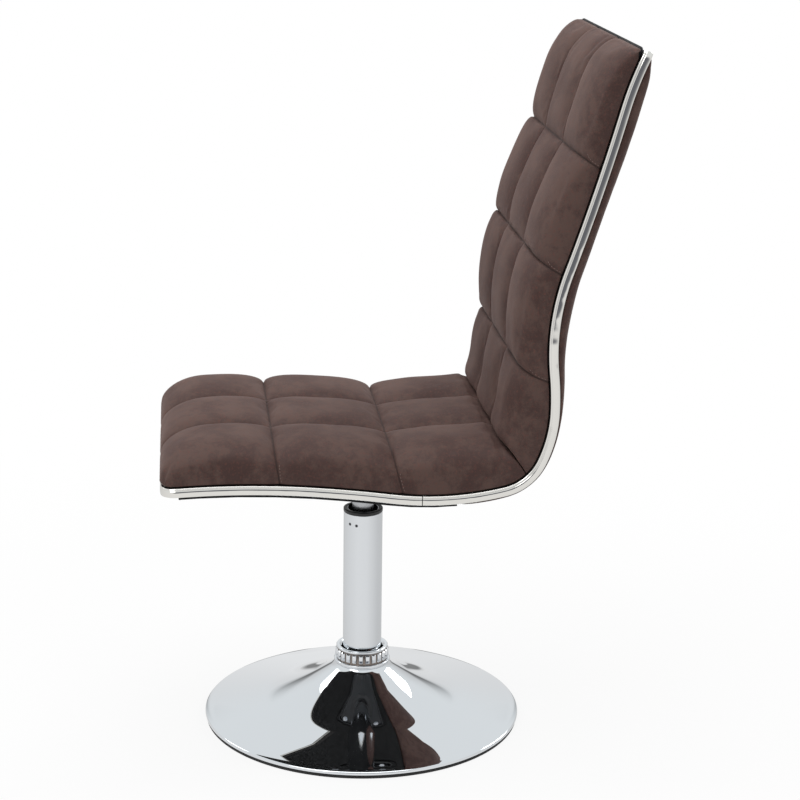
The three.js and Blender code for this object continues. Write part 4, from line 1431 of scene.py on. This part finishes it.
    def build(self) -> bpy.types.Object:
        """Builds the pad: sewn, filled and subdivided. Returns the piece."""
        piece = finish_piece(self.name, self.form(), Finishes.suede, Body.SEAT, self.node, 180.0)
        self.inflate(piece)
        self.subdivide(piece)
        return piece

    def inflate(self, piece: bpy.types.Object) -> None:
        """Fills the pad's cover by cloth simulation. No point ends further from its start than the cap."""
        mesh = piece.data
        start = [vert.co.copy() for vert in mesh.vertices]
        held = piece.vertex_groups.new(name="held")
        for i, weight in enumerate(mesh.attributes["held"].data):
            held.add([i], weight.value, "REPLACE")
        cloth = piece.modifiers.new("fill", "CLOTH")
        for key, value in SUEDE_ON_FOAM.items():
            setattr(cloth.settings, key, value)
        cloth.settings.shrink_min = -self.slack
        cloth.settings.effector_weights.gravity = 0.0
        cloth.settings.vertex_group_mass = held.name
        cloth.collision_settings.use_collision = False
        scene = bpy.context.scene
        for number in range(self.fill_frames):
            scene.frame_set(number + 1)
        filled = piece.evaluated_get(bpy.context.evaluated_depsgraph_get()).to_mesh()
        for vert, old, new in zip(mesh.vertices, start, filled.vertices):
            move = new.co - old
            vert.co = old + move.normalized() * min(move.length, self.swell_cap * MM)
        piece.to_mesh_clear()
        piece.modifiers.remove(cloth)
        piece.vertex_groups.clear()
        scene.frame_set(1)

    def subdivide(self, piece: bpy.types.Object) -> None:
        """Subdivides the pad once for good. The creased edges keep its seams narrow."""
        smooth = piece.modifiers.new("smooth", "SUBSURF")
        smooth.levels = smooth.render_levels = 1
        graph = bpy.context.evaluated_depsgraph_get()
        finer = bpy.data.meshes.new_from_object(piece.evaluated_get(graph))
        piece.modifiers.remove(smooth)
        piece.data = finer
        finer.name = self.name


@dataclass
class Stitching:
    """The thread that shows beside the sewn lines, down a pad's sides."""

    pad: Pad
    length: float = 2.9
    pitch: float = 4.1
    thickness: float = 0.75
    beside: float = 1.9
    low: float = 10.5
    high: float = 36.0

    def build(self, cover: bpy.types.Object) -> None:
        """Lays the stitches of each sewn line on the pad's finished cover."""
        tree = BVHTree.FromObject(cover, bpy.context.evaluated_depsgraph_get())
        form = bmesh.new()
        for line in self.pad.along():
            if line.from_seam < CLOSE:
                for side in (-1.0, 1.0):
                    self.sew(form, tree, replace(line, place=line.place + self.beside), side)
        finish_piece(f"{self.pad.name}_stitches", form, Finishes.thread, Body.SEAT)

    def sew(self, form: BMesh, tree: BVHTree, line: GridLine, side: float) -> None:
        """Lays one row of stitches down a side.

        Args:
            form: The form to add to.
            tree: The cover's faces.
            line: The line beside the seam.
            side: 1 for the sitter's left, -1 for the right.
        """
        moved = replace(line, foot=line.foot + self.beside, swing=0.0)
        cross = GridLine(side, 0.0, FAR_OFF)
        places = []
        for i in range(int((self.high - self.low) / self.pitch) + 1):
            ring = Ring(0.0, self.low + i * self.pitch)
            place, normal, _, _ = tree.find_nearest(self.pad.point(moved, cross, ring) * MM)
            places.append((place / MM, normal))
        bead = Matrix.Diagonal((self.length / 2, self.thickness / 2, self.thickness / 2, 1.0))
        for (place, normal), (after, _) in zip(places, places[1:]):
            along = (after - place).normalized()
            across = along.cross(normal).normalized()
            turn = Matrix((along, across, along.cross(across))).transposed().to_4x4()
            bmesh.ops.create_icosphere(
                form, subdivisions=1, radius=1.0, matrix=Matrix.Translation(place) @ turn @ bead,
            )


# What the two cushions have alike, and how far each stays off the parting between them, at top and foot.
CUSHION = {
    "half_width": 186.2, "side_roll": Roll(50, 0.42), "rings": (
        Ring(0.0, 11.0, 0.4), Ring(0.4, 11.0, 0.8), Ring(1.0, 8.6), Ring(2.0, 6.9), Ring(5.0, 6.9),
        Ring(5.0, 10.2), Ring(10.5, 10.2), Ring(10.5, 5.3),
    ),
}
TOP_SPACE, FOOT_SPACE = 2.5, 0.4


def seat_cushion() -> Pad:
    """Sets out the seat cushion: three rows of three tufts."""
    start, end = 0.8, LINE.crease(LINE.top_parting) - TOP_SPACE
    return Pad(
        name="seat_upholstery", node="seat_cushion", start=start, end=end, foot_start=start,
        foot_end=LINE.crease(LINE.foot_parting) - FOOT_SPACE,
        top_seams=(0.0, 0.285, 0.579, 1.0), foot_seams=(0.0, 0.316, 0.648, 1.0),
        crown=SmoothCurve(
            (0, 0.22, 0.42, 0.53, 0.65, 0.74, 0.87, 1), (52, 54, 55.5, 57.5, 61.5, 64, 61, 56),
        ),
        start_roll=Roll(58, 0.15), end_roll=Roll(62, 0.72), start_draw=1.0, end_draw=0.1,
        draw_length=0.285 * (end - start), corner=20.0, edge=Edge.FRONT,
        folds=(Fold(-50.0, 133.0, 4.0, 7.0, 1.6),), **CUSHION,
    )


def back_cushion() -> Pad:
    """Sets out the back cushion: four rows of three tufts."""
    start, end = LINE.crease(LINE.top_parting) + TOP_SPACE, LINE.total - 0.5
    return Pad(
        name="back_upholstery", node="back_cushion", start=start, end=end, foot_end=end,
        foot_start=LINE.crease(LINE.foot_parting) + FOOT_SPACE,
        top_seams=(0.0, 0.257, 0.478, 0.741, 1.0), foot_seams=(0.0, 0.235, 0.48, 0.729, 1.0),
        crown=SmoothCurve(
            (0, 0.1, 0.17, 0.255, 0.3, 0.4, 0.48, 0.565, 0.65, 0.74, 0.83, 0.91, 1),
            (59, 58, 56, 49.5, 45.5, 46, 48, 50, 47.5, 44.5, 42.5, 41, 40),
        ),
        start_roll=Roll(26, 0.75), end_roll=Roll(58, 0.15), start_draw=0.1, end_draw=0.45,
        draw_length=0.259 * (end - start), corner=8.0, edge=Edge.TOP, clear_height=10.5,
        folds=(Fold(44.0, end - 22, 5.0, 26.0, 2.2), Fold(-30.0, end - 30, 6.0, 30.0, 1.6)), **CUSHION,
    )


def rear_cover() -> Pad:
    """Sets out the thin padded cover on the hidden side of the board."""
    start, end = 0.87 * LINE.seat, LINE.total - 3.0
    return Pad(
        name="rear_upholstery", node="rear_panel", half_width=184.0, start=start, end=end,
        foot_start=start, foot_end=end, top_seams=(0.0, 1.0), foot_seams=(0.0, 1.0),
        side_seams=(-1.0, 1.0), seam_depth=0.0, face=-1,
        crown=SmoothCurve(
            (0, 0.12, 0.25, 0.3, 0.36, 0.42, 0.5, 0.7, 0.9, 1),
            (11, 10.5, 10, 12.5, 16.5, 20.5, 23, 21, 22, 17),
        ),
        start_roll=Roll(22, 0.7), end_roll=Roll(40, 0.4), side_roll=Roll(46, 0.5),
        start_draw=1.0, end_draw=1.0, draw_length=12.0, corner=16.0, edge=Edge.TOP,
        rings=(Ring(0.5, 7.2), Ring(4.5, 6.3), Ring(4.5, 5.3)), cell=7.0, gather=0.0, swell_cap=1.5,
    )


@dataclass(frozen=True)
class Lamp:
    """A soft square lamp: where it hangs in metres, how wide it is, its power and the point that it faces."""

    name: str
    place: tuple[float, float, float]
    width: float
    watts: float
    aim: tuple[float, float, float] = (0, 0, 0.6)

    def build(self) -> None:
        """Hangs the lamp."""
        data = bpy.data.lights.new(self.name, "AREA")
        data.shape, data.size, data.size_y, data.energy = "RECTANGLE", self.width, self.width, self.watts
        turn = (Vector(self.aim) - Vector(self.place)).to_track_quat("-Z", "Y").to_matrix().to_4x4()
        add_object(self.name, data).matrix_world = Matrix.Translation(self.place) @ turn


@dataclass
class Studio:
    """The pale floor, the soft lamps and the camera at the photograph's viewing angle.

    What shines sees a studio of white card, with a dark flag on either side of the card behind the
    chair, and the dim room behind the camera. These give chrome its dark edges and streaks. The cards
    are greys at shares of a turn round the chair.
    """

    camera_place: tuple[float, float, float] = (2.53353, -0.22721, 1.1364)
    yaw: float = 0.107307
    pitch: float = 0.272312
    roll: float = 0.013114
    lens: float = 93.918
    floor_size: float = 14.0
    world_light: float = 0.5
    card: tuple[float, float, float, float] = (0.85, 0.875, 0.885, 1.0)
    dim: tuple[float, float, float, float] = (0.15, 0.155, 0.175, 1.0)
    paper: tuple[float, float, float, float] = (0.86, 0.86, 0.86, 1.0)
    cards: tuple[tuple[float, float], ...] = (
        (0.0, 0.9), (0.03, 0.8), (0.034, 0.15), (0.044, 0.25), (0.05, 0.66), (0.14, 0.76), (0.25, 0.84),
        (0.4, 0.92), (0.55, 0.9), (0.66, 0.8), (0.75, 0.7), (0.88, 0.66), (0.925, 0.62), (0.93, 0.25),
        (0.938, 0.15), (0.942, 0.8), (1.0, 0.9),
    )
    lamps: tuple[Lamp, ...] = (
        Lamp("key_lamp", (2.0, -2.0, 2.8), 1.8, 24.0),
        Lamp("top_lamp", (0.0, 0.0, 3.4), 2.4, 50.0, (0, 0, 0)),
        Lamp("rear_lamp", (-1.8, 2.4, 2.2), 1.1, 22.0),
        Lamp("front_lamp", (-1.9, -2.1, 2.5), 0.9, 7.0),
    )

    def build(self) -> None:
        """Sets the scene up round the chair."""
        bpy.context.scene.view_settings.view_transform = "Standard"
        self.add_camera()
        self.add_floor()
        self.light_world()
        for lamp in self.lamps:
            lamp.build()

    def add_camera(self) -> None:
        """Adds the camera where the photograph was taken from."""
        cos_y, sin_y = math.cos(self.yaw), math.sin(self.yaw)
        cos_p, sin_p = math.cos(self.pitch), math.sin(self.pitch)
        ahead = Vector((-cos_y * cos_p, sin_y * cos_p, -sin_p))
        right = ahead.cross(Vector((0, 0, 1))).normalized()
        up = right.cross(ahead)
        cos_r, sin_r = math.cos(self.roll), math.sin(self.roll)
        right, up = cos_r * right + sin_r * up, -sin_r * right + cos_r * up
        data = bpy.data.cameras.new("camera")
        data.lens, data.sensor_width, data.clip_end = self.lens, 36.0, 60.0
        camera = add_object("camera", data)
        turn = Matrix((right, up, -ahead)).transposed().to_4x4()
        camera.matrix_world = Matrix.Translation(self.camera_place) @ turn
        bpy.context.scene.camera = camera

    def add_floor(self) -> None:
        """Adds the floor: matt white paper, which fades into the white backdrop away from the chair."""
        form = bmesh.new()
        bmesh.ops.create_grid(form, x_segments=1, y_segments=1, size=self.floor_size)
        floor = add_mesh("floor", form)
        material = bpy.data.materials.new("matt_white_floor")
        tree = empty_tree(material)
        place = add_node(tree, "TexCoord", out="Object")
        away = add_node(tree, "VectorMath", {0: place}, operation="LENGTH")
        fade = add_node(tree, "MapRange", {
            "Value": away, "From Min": 0.4, "From Max": 1.3, "To Min": 0.88, "To Max": 1.0,
        }, **EASED)
        far = add_node(tree, "MapRange", {"Value": away, "From Min": 2.4, "From Max": 2.95}, **EASED)
        colour = self.white_or(tree, self.room(tree, place, far))
        matt = add_node(tree, "BsdfDiffuse", {"Color": self.paper})
        glow = add_node(tree, "Emission", {"Color": colour, "Strength": 1.0})
        part = add_node(tree, "Math", {0: self.seen_rays(tree), 1: fade}, operation="MULTIPLY")
        mix = add_node(tree, "MixShader", {0: part, 1: matt, 2: glow})
        add_node(tree, "OutputMaterial", {"Surface": mix})
        floor.data.materials.append(material)

    @staticmethod
    def seen_rays(tree: Tree) -> Socket:
        """Returns 1 for what the camera sees, directly, in a mirror or through glass, and 0 for light."""
        rays = add_node(tree, "LightPath").node.outputs
        first = {0: rays["Is Camera Ray"], 1: rays["Is Glossy Ray"]}
        either = add_node(tree, "Math", first, operation="MAXIMUM")
        return add_node(tree, "Math", {0: either, 1: rays["Is Transmission Ray"]}, operation="MAXIMUM")

    @staticmethod
    def white_or(tree: Tree, mirrored: Socket) -> Socket:
        """Returns white for the eye, and for what shines the colour that it mirrors."""
        shiny = add_node(tree, "LightPath", out="Is Glossy Ray")
        return add_node(tree, "Mix", {"Factor": shiny, 6: WHITE, 7: mirrored}, **COLOURS)

    def room(self, tree: Tree, way: Socket, far: Socket) -> Socket:
        """Finds the colour that metal sees of the studio in a direction round the chair.

        Args:
            tree: The node tree.
            way: A vector in that direction.
            far: How far off the studio is seen, from 0 to 1.

        Returns:
            The colour.
        """
        turn = add_node(tree, "TexGradient", {"Vector": way}, out="Fac", gradient_type="RADIAL")
        stops = tuple((at, (grey, grey, grey, 1.0)) for at, grey in self.cards)
        cards = add_node(tree, "ValToRGB", {"Fac": turn}, stops=stops)
        flat = add_node(tree, "VectorMath", {0: way, 1: (1, 1, 0)}, operation="MULTIPLY")
        unit = add_node(tree, "VectorMath", {0: flat}, operation="NORMALIZE")
        ahead = add_node(tree, "SeparateXYZ", {0: unit}, out="X")
        behind = add_node(tree, "MapRange", {"Value": ahead, "From Min": 0.78, "From Max": 0.98}, **EASED)
        dark = add_node(tree, "Math", {0: behind, 1: far}, operation="MULTIPLY")
        return add_node(tree, "Mix", {"Factor": dark, 6: cards, 7: self.dim}, **COLOURS)

    def light_world(self) -> None:
        """Lights the chair from a plain pale sky, which is white where the camera sees it."""
        world = bpy.data.worlds.new("pale_room")
        bpy.context.scene.world = world
        tree = empty_tree(world)
        way = add_node(tree, "TexCoord", out="Generated")
        rise = add_node(tree, "SeparateXYZ", {0: way}, out="Z")
        low = add_node(tree, "MapRange", {
            "Value": rise, "From Min": 0.3, "From Max": 0.5, "To Min": 1.0, "To Max": 0.0,
        }, **EASED)
        high = add_node(tree, "MapRange", {"Value": rise, "From Min": 0.1, "From Max": 0.5}, **EASED)
        around = add_node(tree, "Mix", {
            "Factor": high, 6: self.room(tree, way, low), 7: self.card,
        }, **COLOURS)
        light = add_node(tree, "Background", {"Color": WHITE, "Strength": self.world_light})
        seen = add_node(tree, "Background", {"Color": self.white_or(tree, around), "Strength": 1.0})
        mix = add_node(tree, "MixShader", {0: self.seen_rays(tree), 1: light, 2: seen})
        add_node(tree, "OutputWorld", {"Surface": mix})


def main() -> None:
    """Builds each sub-assembly in order."""
    logging.basicConfig(level=logging.INFO, format="%(name)s: %(message)s")
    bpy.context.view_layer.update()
    Studio().build()
    for part in (RoundBase(), Collar(), Column(), TurningGear(), BoardAndTrim()):
        part.build()
    for pad in (seat_cushion(), back_cushion()):
        Stitching(pad).build(pad.build())
    rear_cover().build()


if __name__ == "__main__":
    main()
